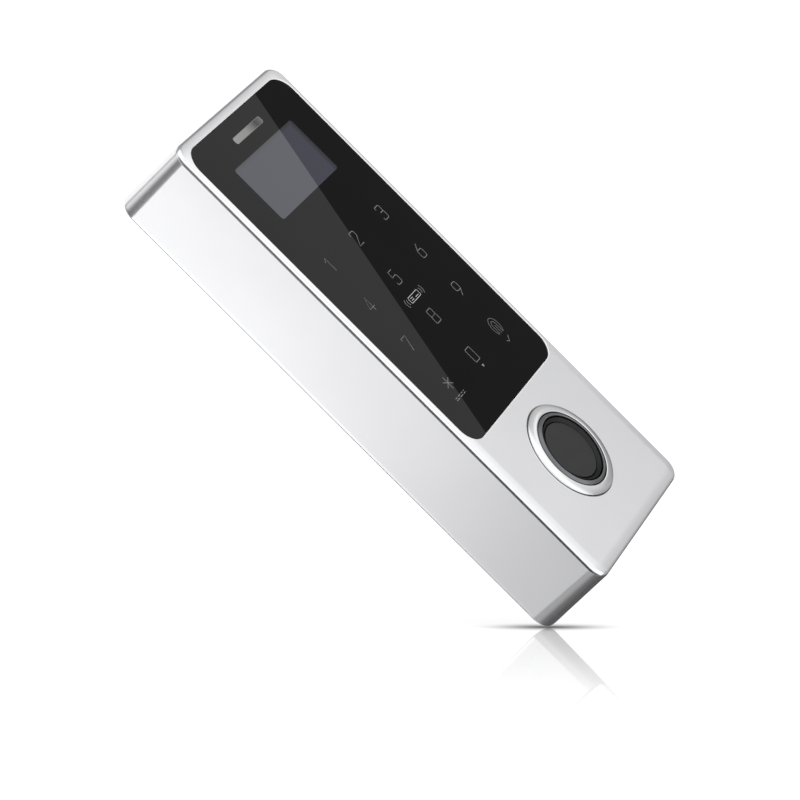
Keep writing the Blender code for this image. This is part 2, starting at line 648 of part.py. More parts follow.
def make_wall_bracket():
    """The pressed steel bracket: plate, two hooks, screw tab, cable hole and slotted holes."""
    centre_z = (BRACKET_TOP + BRACKET_BOTTOM) / 2
    half_h = (BRACKET_TOP - BRACKET_BOTTOM) / 2
    plate = rounded_outline(0, centre_z, BRACKET_HALF_W, half_h, 4 * MM, 4)
    bracket = slab("wall_bracket", plate, -SHEET, 0.0, STEEL)
    hook_half = 6.0 * MM
    hook_front = HOOK_BACK - SHEET
    bends = []
    for number, x in enumerate((-HOOK_X, HOOK_X)):
        bends.append(block(f"hook_shelf_{number}", (x - hook_half, hook_front, BRACKET_TOP - SHEET),
                           (x + hook_half, -SHEET / 2, BRACKET_TOP - 0.1 * MM)))
        bends.append(block(f"hook_tongue_{number}", (x - hook_half, hook_front, BRACKET_TOP - 0.8 * SHEET),
                           (x + hook_half, HOOK_BACK, HOOK_TOP)))
    tab_half = 6.5 * MM
    tab_top = TAB_Z + SHEET
    collar_top = tab_top + 1.6 * MM
    bends.append(block("tab_neck", (-tab_half, -SHEET, TAB_Z + 0.2 * MM),
                       (tab_half, 0.0, BRACKET_BOTTOM + MM)))
    bends.append(block("screw_tab", (-tab_half, -9.5 * MM, TAB_Z), (tab_half, -SHEET / 2, tab_top)))
    bends.append(rod("thread_collar", (0, SCREW_Y, 0), 3.0 * MM, tab_top - SHEET / 2, collar_top, axis="Z"))
    boolean(bracket, bends, "UNION")

    past = 1.0 * MM
    thread_r = SCREW_R + GAP
    cable = rounded_outline(0, CABLE_Z, CABLE_HALF_W, CABLE_HALF_H, 3 * MM, 4)
    holes = [rod("thread_cut", (0, SCREW_Y, 0), thread_r, TAB_Z - past, collar_top + past, axis="Z"),
             slab("cable_cut", cable, -SHEET - past, past)]
    for number, (x, z, half_w, half_h) in enumerate(bracket_slots()):
        outline = rounded_outline(x, z, half_w, half_h, min(half_w, half_h) - 0.01 * MM, 5)
        holes.append(slab(f"wall_slot_{number}", outline, -SHEET - past, past))
    boolean(bracket, holes, "DIFFERENCE")


def bracket_slots():
    """Wall screw slots as (x, z, half width, half height)."""
    narrow = 2.2 * MM
    long = 5.0 * MM
    rows = (-60.0 * MM, 60.0 * MM)
    slots = [(0.0, z, narrow, long) for z in rows]
    slots += [(x, z, long, narrow) for z in rows for x in (-20.0 * MM, 20.0 * MM)]
    return slots


def make_security_screw():
    """The captive screw that comes up through the housing's slot into the bracket's tab."""
    head_low = -92.2 * MM
    head_high = -90.5 * MM
    tip = -82.8 * MM
    profile = [(0.0, head_low), (SCREW_HEAD_R - 0.4 * MM, head_low), (SCREW_HEAD_R, head_low + 0.4 * MM),
               (SCREW_HEAD_R, head_high), (SCREW_R, head_high), (SCREW_R, tip - 0.5 * MM),
               (SCREW_R - 0.5 * MM, tip), (0.0, tip)]
    screw = turned("security_screw", (0, SCREW_Y, 0), profile, STEEL, 24, axis="Z")
    socket_depth = 1.0 * MM
    socket = turned("driver_socket_cut", (0, SCREW_Y, 0),
                    [(0.0, head_low - MM), (1.1 * MM, head_low - MM), (1.1 * MM, head_low + socket_depth),
                     (0.0, head_low + socket_depth)], None, 6, axis="Z")
    boolean(screw, [socket], "DIFFERENCE")


# ---------------------------------------------------------------- joints

BRACKET_PIECES = ("wall_bracket", "security_screw")


def hang_on_pivot():
    """Parent all that swings off the wall to an empty on the pivot line, the top rear edge."""
    pivot = bpy.data.objects.new("swing_pivot", None)
    pivot.location = (0.0, 0.0, HALF_H)
    bpy.context.scene.collection.objects.link(pivot)
    for obj in bpy.data.objects:
        if obj is not pivot and obj.name not in BRACKET_PIECES and not obj.hide_render:
            obj.parent = pivot
            obj.matrix_parent_inverse = Matrix.Translation(-pivot.location)


def main():
    clear_scene()
    make_front_housing()
    make_panel()
    make_touch_board()
    make_display()
    make_status_light()
    make_reader()
    make_sensor()
    make_reader_ribbon()
    make_main_board()
    make_components()
    make_headers()
    make_tamper_switch()
    make_rear_cover()
    make_wall_bracket()
    make_security_screw()
    hang_on_pivot()


main()
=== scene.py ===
"""Looks for a fingerprint, card and keypad access terminal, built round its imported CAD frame.

Metres, +Z up towards the display end, the front faces -Y. Every piece takes its place from the frame.
"""
import json
import math

import bmesh
import bpy
from mathutils import Matrix, Vector


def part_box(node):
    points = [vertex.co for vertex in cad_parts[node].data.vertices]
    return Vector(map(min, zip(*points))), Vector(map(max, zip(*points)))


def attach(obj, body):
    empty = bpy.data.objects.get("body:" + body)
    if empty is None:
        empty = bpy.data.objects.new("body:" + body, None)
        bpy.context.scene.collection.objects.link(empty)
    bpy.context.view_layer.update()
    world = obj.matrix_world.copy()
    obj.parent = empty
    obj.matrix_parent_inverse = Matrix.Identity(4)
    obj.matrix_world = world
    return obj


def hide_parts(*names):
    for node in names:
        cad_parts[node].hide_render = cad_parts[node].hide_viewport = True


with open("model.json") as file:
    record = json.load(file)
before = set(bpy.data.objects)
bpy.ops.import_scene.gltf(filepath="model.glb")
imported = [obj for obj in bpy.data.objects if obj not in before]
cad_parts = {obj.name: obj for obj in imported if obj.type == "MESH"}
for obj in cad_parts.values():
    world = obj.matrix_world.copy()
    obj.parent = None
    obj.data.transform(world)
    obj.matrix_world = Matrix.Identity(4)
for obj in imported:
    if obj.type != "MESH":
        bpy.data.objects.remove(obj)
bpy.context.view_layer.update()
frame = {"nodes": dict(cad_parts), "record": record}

MM = 0.001
GAP = 0.3 * MM
PRINT = 0.015 * MM                  # how far a printed layer stands on the glass

# Corners of the CAD pieces that the visible ones are built to
SHELL_LOW, SHELL_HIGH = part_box("front_housing")
PANEL_LOW, PANEL_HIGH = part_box("keypad_panel")
BEZEL_LOW, BEZEL_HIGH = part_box("reader_bezel")
RING_LOW, RING_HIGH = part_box("sensor_ring")
SEAL_LOW, SEAL_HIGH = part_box("sensor_seal")
SENSOR_LOW, SENSOR_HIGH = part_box("sensor_glass")
SCREW_LOW, SCREW_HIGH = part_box("security_screw")
PLUNGER_LOW, PLUNGER_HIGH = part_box("tamper_plunger")

FRONT = SHELL_LOW.y
PANEL_FACE = PANEL_LOW.y
READER = Vector((0.0, 0.0, (BEZEL_LOW.z + BEZEL_HIGH.z) / 2))
BEZEL_R = (BEZEL_HIGH.x - BEZEL_LOW.x) / 2


# ---------------------------------------------------------------- working in object and edit mode

def take(obj):
    """Make this the only selected object, and the active one."""
    bpy.ops.object.select_all(action="DESELECT")
    obj.hide_set(False)
    obj.select_set(True)
    bpy.context.view_layer.objects.active = obj
    return obj


def fresh(name):
    """Name the object that was just added and bake its place into its mesh."""
    obj = bpy.context.object
    take(obj)
    obj.name = name
    obj.data.name = name
    bpy.ops.object.transform_apply(location=True, rotation=True, scale=True)
    return obj


def open_mesh(obj, kind="FACE"):
    """Go into edit mode on an object with nothing selected, and return its editable form."""
    take(obj)
    bpy.ops.object.mode_set(mode="EDIT")
    bpy.ops.mesh.select_mode(type=kind)
    bpy.ops.mesh.select_all(action="DESELECT")
    return bmesh.from_edit_mesh(obj.data)


def close_mesh():
    """Leave edit mode."""
    bpy.ops.object.mode_set(mode="OBJECT")


def pick_faces(obj, wanted):
    """In edit mode, select just the faces that wanted(middle, normal) accepts."""
    bpy.ops.mesh.select_mode(type="FACE")
    bpy.ops.mesh.select_all(action="DESELECT")
    form = bmesh.from_edit_mesh(obj.data)
    for face in form.faces:
        face.select_set(bool(wanted(face.calc_center_median(), face.normal)))
    bmesh.update_edit_mesh(obj.data)


def pick_edges(obj, wanted):
    """In edit mode, select just the edges that wanted(one end, other end) accepts."""
    bpy.ops.mesh.select_mode(type="EDGE")
    bpy.ops.mesh.select_all(action="DESELECT")
    form = bmesh.from_edit_mesh(obj.data)
    for edge in form.edges:
        edge.select_set(bool(wanted(edge.verts[0].co, edge.verts[1].co)))
    bmesh.update_edit_mesh(obj.data)


def tidy_surface():
    """In edit mode, merge what coincides and turn every face outwards."""
    bpy.ops.mesh.select_all(action="SELECT")
    bpy.ops.mesh.remove_doubles(threshold=0.0005 * MM)
    bpy.ops.mesh.normals_make_consistent(inside=False)


def eased(points, segments=5, closed=True):
    """Round each corner (a, b, radius) of a path. A radius of 0 leaves the corner sharp."""
    rounded = []
    count = len(points)
    for i, (a, b, radius) in enumerate(points):
        here = Vector((a, b))
        at_end = not closed and i in (0, count - 1)
        if radius == 0 or at_end:
            rounded.append(here)
            continue
        before = Vector(points[i - 1][:2]) - here
        after = Vector(points[(i + 1) % count][:2]) - here
        half = before.angle(after) / 2
        reach = min(radius / math.tan(half), 0.49 * before.length, 0.49 * after.length)
        start = here + before.normalized() * reach
        end = here + after.normalized() * reach
        for step in range(segments + 1):
            t = step / segments
            rounded.append(start * (1 - t) ** 2 + here * 2 * t * (1 - t) + end * t ** 2)
    return rounded


def turned(name, centre, section, steps=128, axis="Y"):
    """Spin a closed section of (radius, height along the axis) about a centre line."""
    bpy.ops.mesh.primitive_circle_add(vertices=len(section), radius=MM, fill_type="NOTHING")
    obj = fresh(name)
    form = open_mesh(obj, "VERT")
    for vert, (radius, height) in zip(form.verts, section):
        along = (radius, height, 0.0) if axis == "Y" else (radius, 0.0, height)
        vert.co = Vector(centre) + Vector(along)
    bmesh.update_edit_mesh(obj.data)
    bpy.ops.mesh.select_all(action="SELECT")
    turn_line = (0, 1, 0) if axis == "Y" else (0, 0, 1)
    bpy.ops.mesh.spin(steps=steps, angle=2 * math.pi, center=centre, axis=turn_line)
    tidy_surface()
    close_mesh()
    return obj


def bar(name, low, high, corner=0.0, segments=12):
    """A block between two corners, with its four edges along Y rounded."""
    low, high = Vector(low), Vector(high)
    bpy.ops.mesh.primitive_cube_add(size=1.0, location=(low + high) / 2, scale=high - low)
    obj = fresh(name)
    if corner:
        open_mesh(obj)
        pick_edges(obj, lambda p, q: abs((p - q).normalized().y) > 0.99)
        bpy.ops.mesh.bevel(offset=corner, segments=segments, profile=0.5, clamp_overlap=False)
        close_mesh()
    return obj


def step_in(obj, facing, steps):
    """Inset the one big face looking this way, in steps of (inwards, outwards along its normal)."""
    facing = Vector(facing)
    open_mesh(obj)
    pick_faces(obj, lambda middle, normal: normal.dot(facing) > 0.999)
    for inwards, outwards in steps:
        if inwards:
            bpy.ops.mesh.inset(thickness=inwards, depth=outwards, use_even_offset=True)
        else:
            bpy.ops.mesh.extrude_region_move(TRANSFORM_OT_translate={"value": facing * outwards})
    close_mesh()


def quarter_steps(width, height, count):
    """Steps of an elliptical easing, from the side wall round to the face."""
    turn = [math.pi / 2 * i / count for i in range(count + 1)]
    return [(width * (math.cos(a) - math.cos(b)), height * (math.sin(b) - math.sin(a)))
            for a, b in zip(turn, turn[1:])]


def combine(target, tools, operation="DIFFERENCE"):
    """Cut, join or intersect the target with tools, which are used up."""
    for tool in tools:
        take(target)
        bpy.ops.object.modifier_add(type="BOOLEAN")
        modifier = target.modifiers[-1]
        modifier.operation = operation
        modifier.solver = "EXACT"
        modifier.object = tool
        bpy.ops.object.modifier_apply(modifier=modifier.name)
        bpy.data.objects.remove(tool, do_unlink=True)
    return target


def ease_edges(obj, width):
    """Break the sharp edges of a finished form."""
    take(obj)
    bpy.ops.object.modifier_add(type="BEVEL")
    modifier = obj.modifiers[-1]
    modifier.width = width
    modifier.segments = 2
    modifier.limit_method = "ANGLE"
    modifier.angle_limit = math.radians(35)
    modifier.use_clamp_overlap = True
    bpy.ops.object.modifier_apply(modifier=modifier.name)


def fair(obj, angle=35):
    """Shade an object smooth, with its flat faces kept flat and its sharp edges sharp."""
    take(obj)
    bpy.ops.object.shade_smooth_by_angle(angle=math.radians(angle))
    bpy.ops.object.modifier_add(type="WEIGHTED_NORMAL")
    modifier = obj.modifiers[-1]
    modifier.keep_sharp = True
    modifier.weight = 50
    bpy.ops.object.modifier_apply(modifier=modifier.name)
    return obj


def from_frame(node, name, edge):
    """A copy of a CAD piece as one merged surface, its edges broken by this width."""
    obj = bpy.data.objects.new(name, frame["nodes"][node].data.copy())
    obj.data.name = name
    obj.data.materials.clear()
    bpy.context.scene.collection.objects.link(obj)
    take(obj)
    if obj.data.has_custom_normals:
        bpy.ops.mesh.customdata_custom_splitnormals_clear()
    open_mesh(obj)
    bpy.ops.mesh.select_all(action="SELECT")
    bpy.ops.mesh.remove_doubles(threshold=0.001 * MM)
    bpy.ops.mesh.dissolve_limited(angle_limit=math.radians(1.0))
    close_mesh()
    ease_edges(obj, edge)
    return obj


def settle(obj, body, slot, finish, *nodes):
    """Give a piece its finish, its body, and the CAD pieces that it stands for."""
    if finish:
        obj.data.materials.append(finish)
    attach(obj, body)
    if nodes:
        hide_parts(*nodes)
    return obj


# ---------------------------------------------------------------- finishes

def linear(code):
    """An sRGB hex colour as linear RGBA."""
    channels = [int(code[i:i + 2], 16) / 255 for i in (1, 3, 5)]
    return (*[c / 12.92 if c <= 0.04045 else ((c + 0.055) / 1.055) ** 2.4 for c in channels], 1.0)


def add_node(tree, kind, settings=None, **links):
    """Add a node, set its properties and sockets, and link sockets named s0, s1, ... or by name."""
    node = tree.nodes.new(kind)
    for key, value in (settings or {}).items():
        if isinstance(key, int) or key in node.inputs:
            node.inputs[key].default_value = value
        else:
            setattr(node, key, value)
    for key, source in links.items():
        target = int(key[1:]) if key[0] == "s" and key[1:].isdigit() else key.replace("_", " ")
        tree.links.new(source, node.inputs[target])
    return node


def new_finish(name, colour, roughness, metallic=0.0, **sockets):
    """A Principled material with its constant values set on the shader itself."""
    material = bpy.data.materials.new(name)
    material.use_nodes = True
    shader = material.node_tree.nodes["Principled BSDF"]
    shader.inputs["Base Color"].default_value = linear(colour)
    shader.inputs["Roughness"].default_value = roughness
    shader.inputs["Metallic"].default_value = metallic
    for key, value in sockets.items():
        shader.inputs[key.replace("_", " ")].default_value = value
    material.diffuse_color = linear(colour)
    return material, material.node_tree, shader


def surface_grain(tree, shader, pitch, height, strength=1.0, detail=2.0, stretch=(1.0, 1.0, 1.0)):
    """Fine relief: a noise whose grain is pitch metres across, as a bump of this height."""
    place = add_node(tree, "ShaderNodeTexCoord")
    scaled = add_node(tree, "ShaderNodeMapping", {"Scale": stretch}, Vector=place.outputs["Object"])
    noise = add_node(tree, "ShaderNodeTexNoise", {"Scale": 1 / pitch, "Detail": detail},
                     Vector=scaled.outputs[0])
    bump = add_node(tree, "ShaderNodeBump", {"Distance": height, "Strength": strength},
                    Height=noise.outputs[0])
    tree.links.new(bump.outputs[0], shader.inputs["Normal"])
    return noise


def vary(tree, noise, low, high, socket):
    """Let a pattern swing a shader value between two limits."""
    swing = add_node(tree, "ShaderNodeMapRange", {"From Min": 0.3, "From Max": 0.7, "To Min": low,
                                                  "To Max": high}, Value=noise.outputs[0])
    tree.links.new(swing.outputs[0], socket)


def vary_colour(tree, shader, first, second, pitch):
    """Drift the colour slowly between two tones, over patches pitch metres across."""
    place = add_node(tree, "ShaderNodeTexCoord")
    noise = add_node(tree, "ShaderNodeTexNoise", {"Scale": 1 / pitch, "Detail": 3.0},
                     Vector=place.outputs["Object"])
    ramp = add_node(tree, "ShaderNodeValToRGB", {}, Fac=noise.outputs[0])
    ramp.color_ramp.elements[0].position = 0.35
    ramp.color_ramp.elements[1].position = 0.65
    ramp.color_ramp.elements[0].color = linear(first)
    ramp.color_ramp.elements[1].color = linear(second)
    tree.links.new(ramp.outputs[0], shader.inputs["Base Color"])


def satin_zinc():
    """Zinc die-casting, bead-blasted and satin nickel plated: an even silver with a 0.2 mm grain
    that is only just felt, and broad soft reflections."""
    material, tree, shader = new_finish("satin_nickel_plated_zinc", "#eeedf1", 0.22, 1.0)
    noise = surface_grain(tree, shader, 0.2 * MM, 0.0006 * MM, 0.2)
    vary(tree, noise, 0.21, 0.225, shader.inputs["Roughness"])
    vary_colour(tree, shader, "#ededf0", "#f0f0f2", 30 * MM)
    return material


def rim_painted_highlight():
    """Rim of the panel's recess: a pale, rough, mostly matt finish with a fine grain. It is a painted
    highlight that keeps the rim pale from every side."""
    material, tree, shader = new_finish("pale_rim_painted_highlight", "#f4f4f4", 0.5, 0.2)
    noise = surface_grain(tree, shader, 0.08 * MM, 0.002 * MM, 0.4)
    vary(tree, noise, 0.45, 0.55, shader.inputs["Roughness"])
    vary_colour(tree, shader, "#f0f0f0", "#f8f8f8", 4 * MM)
    return material


def turned_zinc():
    """The same plated zinc, turned and polished: faint tool rings 0.1 mm apart round the reader's
    axis, and a tighter highlight."""
    material, tree, shader = new_finish("polished_nickel_plated_zinc", "#eeeef0", 0.18, 1.0,
                                        Specular_Tint=(0.3, 0.3, 0.3, 1.0))
    place = add_node(tree, "ShaderNodeTexCoord")
    centred = add_node(tree, "ShaderNodeMapping", {"Location": (0.0, 0.0, -READER.z)},
                       Vector=place.outputs["Object"])
    flat = add_node(tree, "ShaderNodeVectorMath", {"operation": "MULTIPLY", 1: (1.0, 0.0, 1.0)},
                    s0=centred.outputs[0])
    radius = add_node(tree, "ShaderNodeVectorMath", {"operation": "LENGTH"}, s0=flat.outputs[0])
    rings = add_node(tree, "ShaderNodeTexNoise", {"noise_dimensions": "1D", "Scale": 1 / (0.1 * MM),
                                                  "Detail": 1.0}, W=radius.outputs["Value"])
    bump = add_node(tree, "ShaderNodeBump", {"Distance": 0.0005 * MM, "Strength": 0.15},
                    Height=rings.outputs[0])
    tree.links.new(bump.outputs[0], shader.inputs["Normal"])
    vary(tree, rings, 0.165, 0.195, shader.inputs["Roughness"])
    vary_colour(tree, shader, "#ececee", "#f0f0f1", 12 * MM)
    return material


def black_glass():
    """Toughened cover glass, printed black on its back: a deep even black under a clean gloss."""
    material, tree, shader = new_finish("back_printed_cover_glass", "#060606", 0.0,
                                        Specular_IOR_Level=0.15)
    vary_colour(tree, shader, "#050505", "#070707", 18 * MM)
    return material


def display_window(high):
    """Display glass bonded behind the cover: violet grey, with painted shade along its right and upper
    edges where the frame would shade it, and faint rows of dots 0.7 mm apart."""
    material, tree, shader = new_finish("liquid_crystal_display_glass", "#383944", 0.0,
                                        Specular_IOR_Level=0.58)
    place = add_node(tree, "ShaderNodeTexCoord")
    split = add_node(tree, "ShaderNodeSeparateXYZ", {}, Vector=place.outputs["Object"])
    # Painted shade: the colour darkens within 3.2 mm of the right edge and 1.8 mm of the top edge.
    from_right = add_node(tree, "ShaderNodeMapRange", {
        "interpolation_type": "SMOOTHSTEP", "From Min": high.x - 3.2 * MM, "From Max": high.x,
        "To Min": 0.0, "To Max": 1.0}, Value=split.outputs["X"])
    from_top = add_node(tree, "ShaderNodeMapRange", {
        "interpolation_type": "SMOOTHSTEP", "From Min": high.z - 1.8 * MM, "From Max": high.z,
        "To Min": 0.0, "To Max": 0.7}, Value=split.outputs["Z"])
    shade = add_node(tree, "ShaderNodeMath", {"operation": "MAXIMUM"}, s0=from_right.outputs[0],
                     s1=from_top.outputs[0])
    grid = add_node(tree, "ShaderNodeTexWave", {"Scale": 1 / (2.2 * MM), "wave_type": "BANDS",
                                                "bands_direction": "Z"},
                    Vector=place.outputs["Object"])
    fine = add_node(tree, "ShaderNodeMapRange", {"To Min": 0.96, "To Max": 1.0}, Value=grid.outputs[0])
    ramp = add_node(tree, "ShaderNodeValToRGB", {}, Fac=shade.outputs[0])
    ramp.color_ramp.elements[0].color = linear("#383944")
    ramp.color_ramp.elements[1].color = linear("#25252c")
    toned = add_node(tree, "ShaderNodeVectorMath", {"operation": "SCALE"}, s0=ramp.outputs[0],
                     Scale=fine.outputs[0])
    tree.links.new(toned.outputs[0], shader.inputs["Base Color"])
    return material


def status_diffuser(low, high):
    """Milky diffuser behind the cover glass: light grey, darkening along it to a dark band near its
    right end, with the very end a little lighter."""
    material, tree, shader = new_finish("milky_light_diffuser", "#8f8f8f", 0.08,
                                        Specular_IOR_Level=0.35)
    place = add_node(tree, "ShaderNodeTexCoord")
    split = add_node(tree, "ShaderNodeSeparateXYZ", {}, Vector=place.outputs["Object"])
    along = add_node(tree, "ShaderNodeMapRange", {"From Min": low.x, "From Max": high.x},
                     Value=split.outputs["X"])
    ramp = add_node(tree, "ShaderNodeValToRGB", {}, Fac=along.outputs[0])
    ramp.color_ramp.elements[0].color = linear("#868684")
    ramp.color_ramp.elements[0].position = 0.0
    ramp.color_ramp.elements[1].color = linear("#626261")
    ramp.color_ramp.elements[1].position = 1.0
    for position, tone in ((0.45, "#80807e"), (0.65, "#606060"), (0.8, "#343434"), (0.91, "#4c4c4c")):
        ramp.color_ramp.elements.new(position).color = linear(tone)
    tree.links.new(ramp.outputs[0], shader.inputs["Base Color"])
    return material


def key_ink(name, first, second):
    """Screen-printed legend ink under the glass: flat tone with the ink's slight unevenness."""
    material, tree, shader = new_finish(name, first, 0.08, Specular_IOR_Level=0.2)
    vary_colour(tree, shader, first, second, 0.8 * MM)
    return material


def dark_anodised():
    """Aluminium ring, bead-blasted and anodised dark grey: a dull soft metal grey."""
    material, tree, shader = new_finish("dark_grey_anodised_aluminium", "#7a7c7f", 0.36, 1.0)
    noise = surface_grain(tree, shader, 0.15 * MM, 0.002 * MM, 0.4)
    vary(tree, noise, 0.33, 0.4, shader.inputs["Roughness"])
    vary_colour(tree, shader, "#76787b", "#7e8083", 6 * MM)
    return material


def seal_rubber():
    """Moulded silicone rubber: soft black, slightly dusty on its raised edge."""
    material, tree, shader = new_finish("moulded_silicone_rubber", "#101010", 0.42,
                                        Specular_IOR_Level=0.3)
    noise = surface_grain(tree, shader, 0.12 * MM, 0.004 * MM, 0.4)
    vary(tree, noise, 0.38, 0.46, shader.inputs["Roughness"])
    vary_colour(tree, shader, "#0d0d0d", "#141414", 3 * MM)
    return material


def sensor_coating():
    """Sensor face, hard coated over black: an even matt charcoal, smooth to the finger."""
    material, tree, shader = new_finish("hard_coated_sensor_face", "#1c1c1c", 0.38,
                                        Specular_IOR_Level=0.3)
    noise = surface_grain(tree, shader, 0.1 * MM, 0.001 * MM, 0.3)
    vary(tree, noise, 0.34, 0.42, shader.inputs["Roughness"])
    vary_colour(tree, shader, "#1b1b1b", "#1e1e1e", 4 * MM)
    return material


def plated_steel():
    """Mild steel sheet, zinc plated and clear passivated: cool grey, a faint spangle some
    millimetres across and fine rolling lines along the sheet."""
    material, tree, shader = new_finish("zinc_plated_steel", "#a9acae", 0.36, 1.0)
    noise = surface_grain(tree, shader, 0.3 * MM, 0.004 * MM, 0.35, stretch=(1.0, 1.0, 0.08))
    vary(tree, noise, 0.3, 0.44, shader.inputs["Roughness"])
    place = add_node(tree, "ShaderNodeTexCoord")
    cells = add_node(tree, "ShaderNodeTexVoronoi", {"Scale": 1 / (5 * MM)},
                     Vector=place.outputs["Object"])
    mist = add_node(tree, "ShaderNodeTexNoise", {"Scale": 1 / (2 * MM), "Detail": 3.0},
                    Vector=place.outputs["Object"])
    both = add_node(tree, "ShaderNodeMath", {"operation": "MULTIPLY_ADD", 1: 0.35},
                    s0=cells.outputs["Distance"], s2=mist.outputs[0])
    ramp = add_node(tree, "ShaderNodeValToRGB", {}, Fac=both.outputs[0])
    ramp.color_ramp.elements[0].position = 0.35
    ramp.color_ramp.elements[0].color = linear("#a2a5a7")
    ramp.color_ramp.elements[1].position = 0.85
    ramp.color_ramp.elements[1].color = linear("#b4b7b8")
    tree.links.new(ramp.outputs[0], shader.inputs["Base Color"])
    return material


def moulded_plastic(name, first, second, roughness, grain=0.5 * MM, height=0.012 * MM, shine=0.5):
    """Injection moulding with a spark-eroded texture: an even tone broken by a fine leathery grain."""
    material, tree, shader = new_finish(name, first, roughness, Specular_IOR_Level=shine)
    noise = surface_grain(tree, shader, grain, height, 0.6, 3.0)
    vary(tree, noise, roughness - 0.06, roughness + 0.06, shader.inputs["Roughness"])
    vary_colour(tree, shader, first, second, 4 * MM)
    return material


def cut_metal(name, first, second, roughness, pitch=0.15 * MM):
    """Machined or plated metal: tight grain that breaks up its shine."""
    material, tree, shader = new_finish(name, first, roughness, 1.0)
    noise = surface_grain(tree, shader, pitch, 0.003 * MM, 0.4)
    vary(tree, noise, roughness - 0.06, roughness + 0.06, shader.inputs["Roughness"])
    vary_colour(tree, shader, first, second, 2 * MM)
    return material


def circuit_laminate():
    """Glass-fibre laminate under green solder mask: the weave, drawn coarse at 1 mm so that it shows,
    is a faint relief, and copper areas lighten the green."""
    material, tree, shader = new_finish("green_masked_laminate", "#0f4a2a", 0.35)
    place = add_node(tree, "ShaderNodeTexCoord")
    weave = add_node(tree, "ShaderNodeTexWave", {"Scale": 1 / (3.1 * MM), "Distortion": 0.4},
                     Vector=place.outputs["Object"])
    copper = add_node(tree, "ShaderNodeTexBrick", {
        "Color1": linear("#0e4527"), "Color2": linear("#176338"), "Mortar": linear("#0b371f"),
        "Scale": 1 / (6 * MM), "Mortar Size": 0.03}, Vector=place.outputs["Object"])
    tree.links.new(copper.outputs[0], shader.inputs["Base Color"])
    bump = add_node(tree, "ShaderNodeBump", {"Distance": 0.004 * MM, "Strength": 0.4},
                    Height=weave.outputs[0])
    tree.links.new(bump.outputs[0], shader.inputs["Normal"])
    return material


def flex_film():
    """Polyimide film with copper tracks under it: amber, striped along the cable every 2 mm."""
    material, tree, shader = new_finish("polyimide_flex_film", "#b0701e", 0.3)
    place = add_node(tree, "ShaderNodeTexCoord")
    tracks = add_node(tree, "ShaderNodeTexWave", {"Scale": 1 / (6.3 * MM), "bands_direction": "X"},
                      Vector=place.outputs["Object"])
    ramp = add_node(tree, "ShaderNodeValToRGB", {}, Fac=tracks.outputs[0])
    ramp.color_ramp.elements[0].position = 0.4
    ramp.color_ramp.elements[0].color = linear("#8a4d12")
    ramp.color_ramp.elements[1].position = 0.55
    ramp.color_ramp.elements[1].color = linear("#c98a2c")
    tree.links.new(ramp.outputs[0], shader.inputs["Base Color"])
    return material


FINISH = {
    "satin_zinc": satin_zinc(),
    "panel_glass": black_glass(),
    "adhesive_foam": moulded_plastic("closed_cell_acrylic_foam", "#1c1c1d", "#2a2a2b", 0.8, 0.3 * MM,
                                     0.03 * MM, 0.2),
    "board_laminate": circuit_laminate(),
    "display_glass": key_ink("display_cell_glass", "#34343c", "#3c3c44"),
    "light_diffuser": moulded_plastic("opal_polycarbonate", "#c9c9c6", "#d4d4d1", 0.3),
    "black_plastic": moulded_plastic("textured_black_abs", "#1b1b1c", "#242425", 0.5),
    "seal_rubber": seal_rubber(),
    "brass": cut_metal("machined_brass", "#c9a45a", "#d6b46c", 0.3),
    "sensor_ring_metal": dark_anodised(),
    "sensor_coating": sensor_coating(),
    "socket_plastic": moulded_plastic("ivory_nylon", "#d8d2c0", "#e0dbca", 0.45, 0.3 * MM,
                                      0.006 * MM),
    "flex_film": flex_film(),
    "zinc_plated_steel": plated_steel(),
    "relay_plastic": moulded_plastic("blue_relay_casing", "#1c3f78", "#234a88", 0.35, 0.4 * MM,
                                     0.006 * MM),
    "header_plastic": moulded_plastic("green_polyamide", "#1f7a3c", "#268847", 0.42, 0.3 * MM,
                                      0.006 * MM),
    "plunger_plastic": moulded_plastic("red_acetal", "#b02318", "#bd2c20", 0.35, 0.3 * MM,
                                       0.004 * MM),
}
POLISHED = turned_zinc()
RIM_PAINTED_HIGHLIGHT = rim_painted_highlight()
# Dark grey for the ring in the gap round the reader's bezel: painted shade, standing where there is
# only the gap's shade.
GAP_SHADE_GREY = moulded_plastic("grey_painted_gap_shade", "#565656", "#626262", 0.6, 0.12 * MM, 0.004 * MM,
                         0.2)
TINNED = cut_metal("tinned_copper_pins", "#c6c4bd", "#d2d0ca", 0.25)
BLACKED = cut_metal("blackened_steel_screw", "#6f7173", "#7c7e80", 0.35)


def finish_frame():
    """Every CAD piece that stays takes the finish of its slot."""
    for entry in frame["record"]["subparts"]:
        obj = frame["nodes"].get(entry["node"])
        finish = FINISH.get(entry.get("material_slot"))
        if obj and finish:
            obj.data.materials.clear()
            obj.data.materials.append(finish)


# ---------------------------------------------------------------- front housing

CORNER_R = 6.5 * MM
DRAFT = 0.8 * MM                    # the outer walls lean out this much towards the rear
REAR_EASE = 0.8 * MM
WALL = 2.2 * MM
FRONT_WALL = 4.2 * MM
PANEL_R = 7.0 * MM
PANEL_SEAT = 2.7 * MM               # how deep, and how wide, the ledge under the panel is
CUT_WIDTH = 0.3 * MM                # the bevel cut round the panel's recess
COUNTERBORE = 0.8 * MM
BARREL_BORE_R = 15.3 * MM
FACE_LOW = SHELL_LOW + Vector((DRAFT, 0, DRAFT))
FACE_HIGH = SHELL_HIGH - Vector((DRAFT, 0, DRAFT))


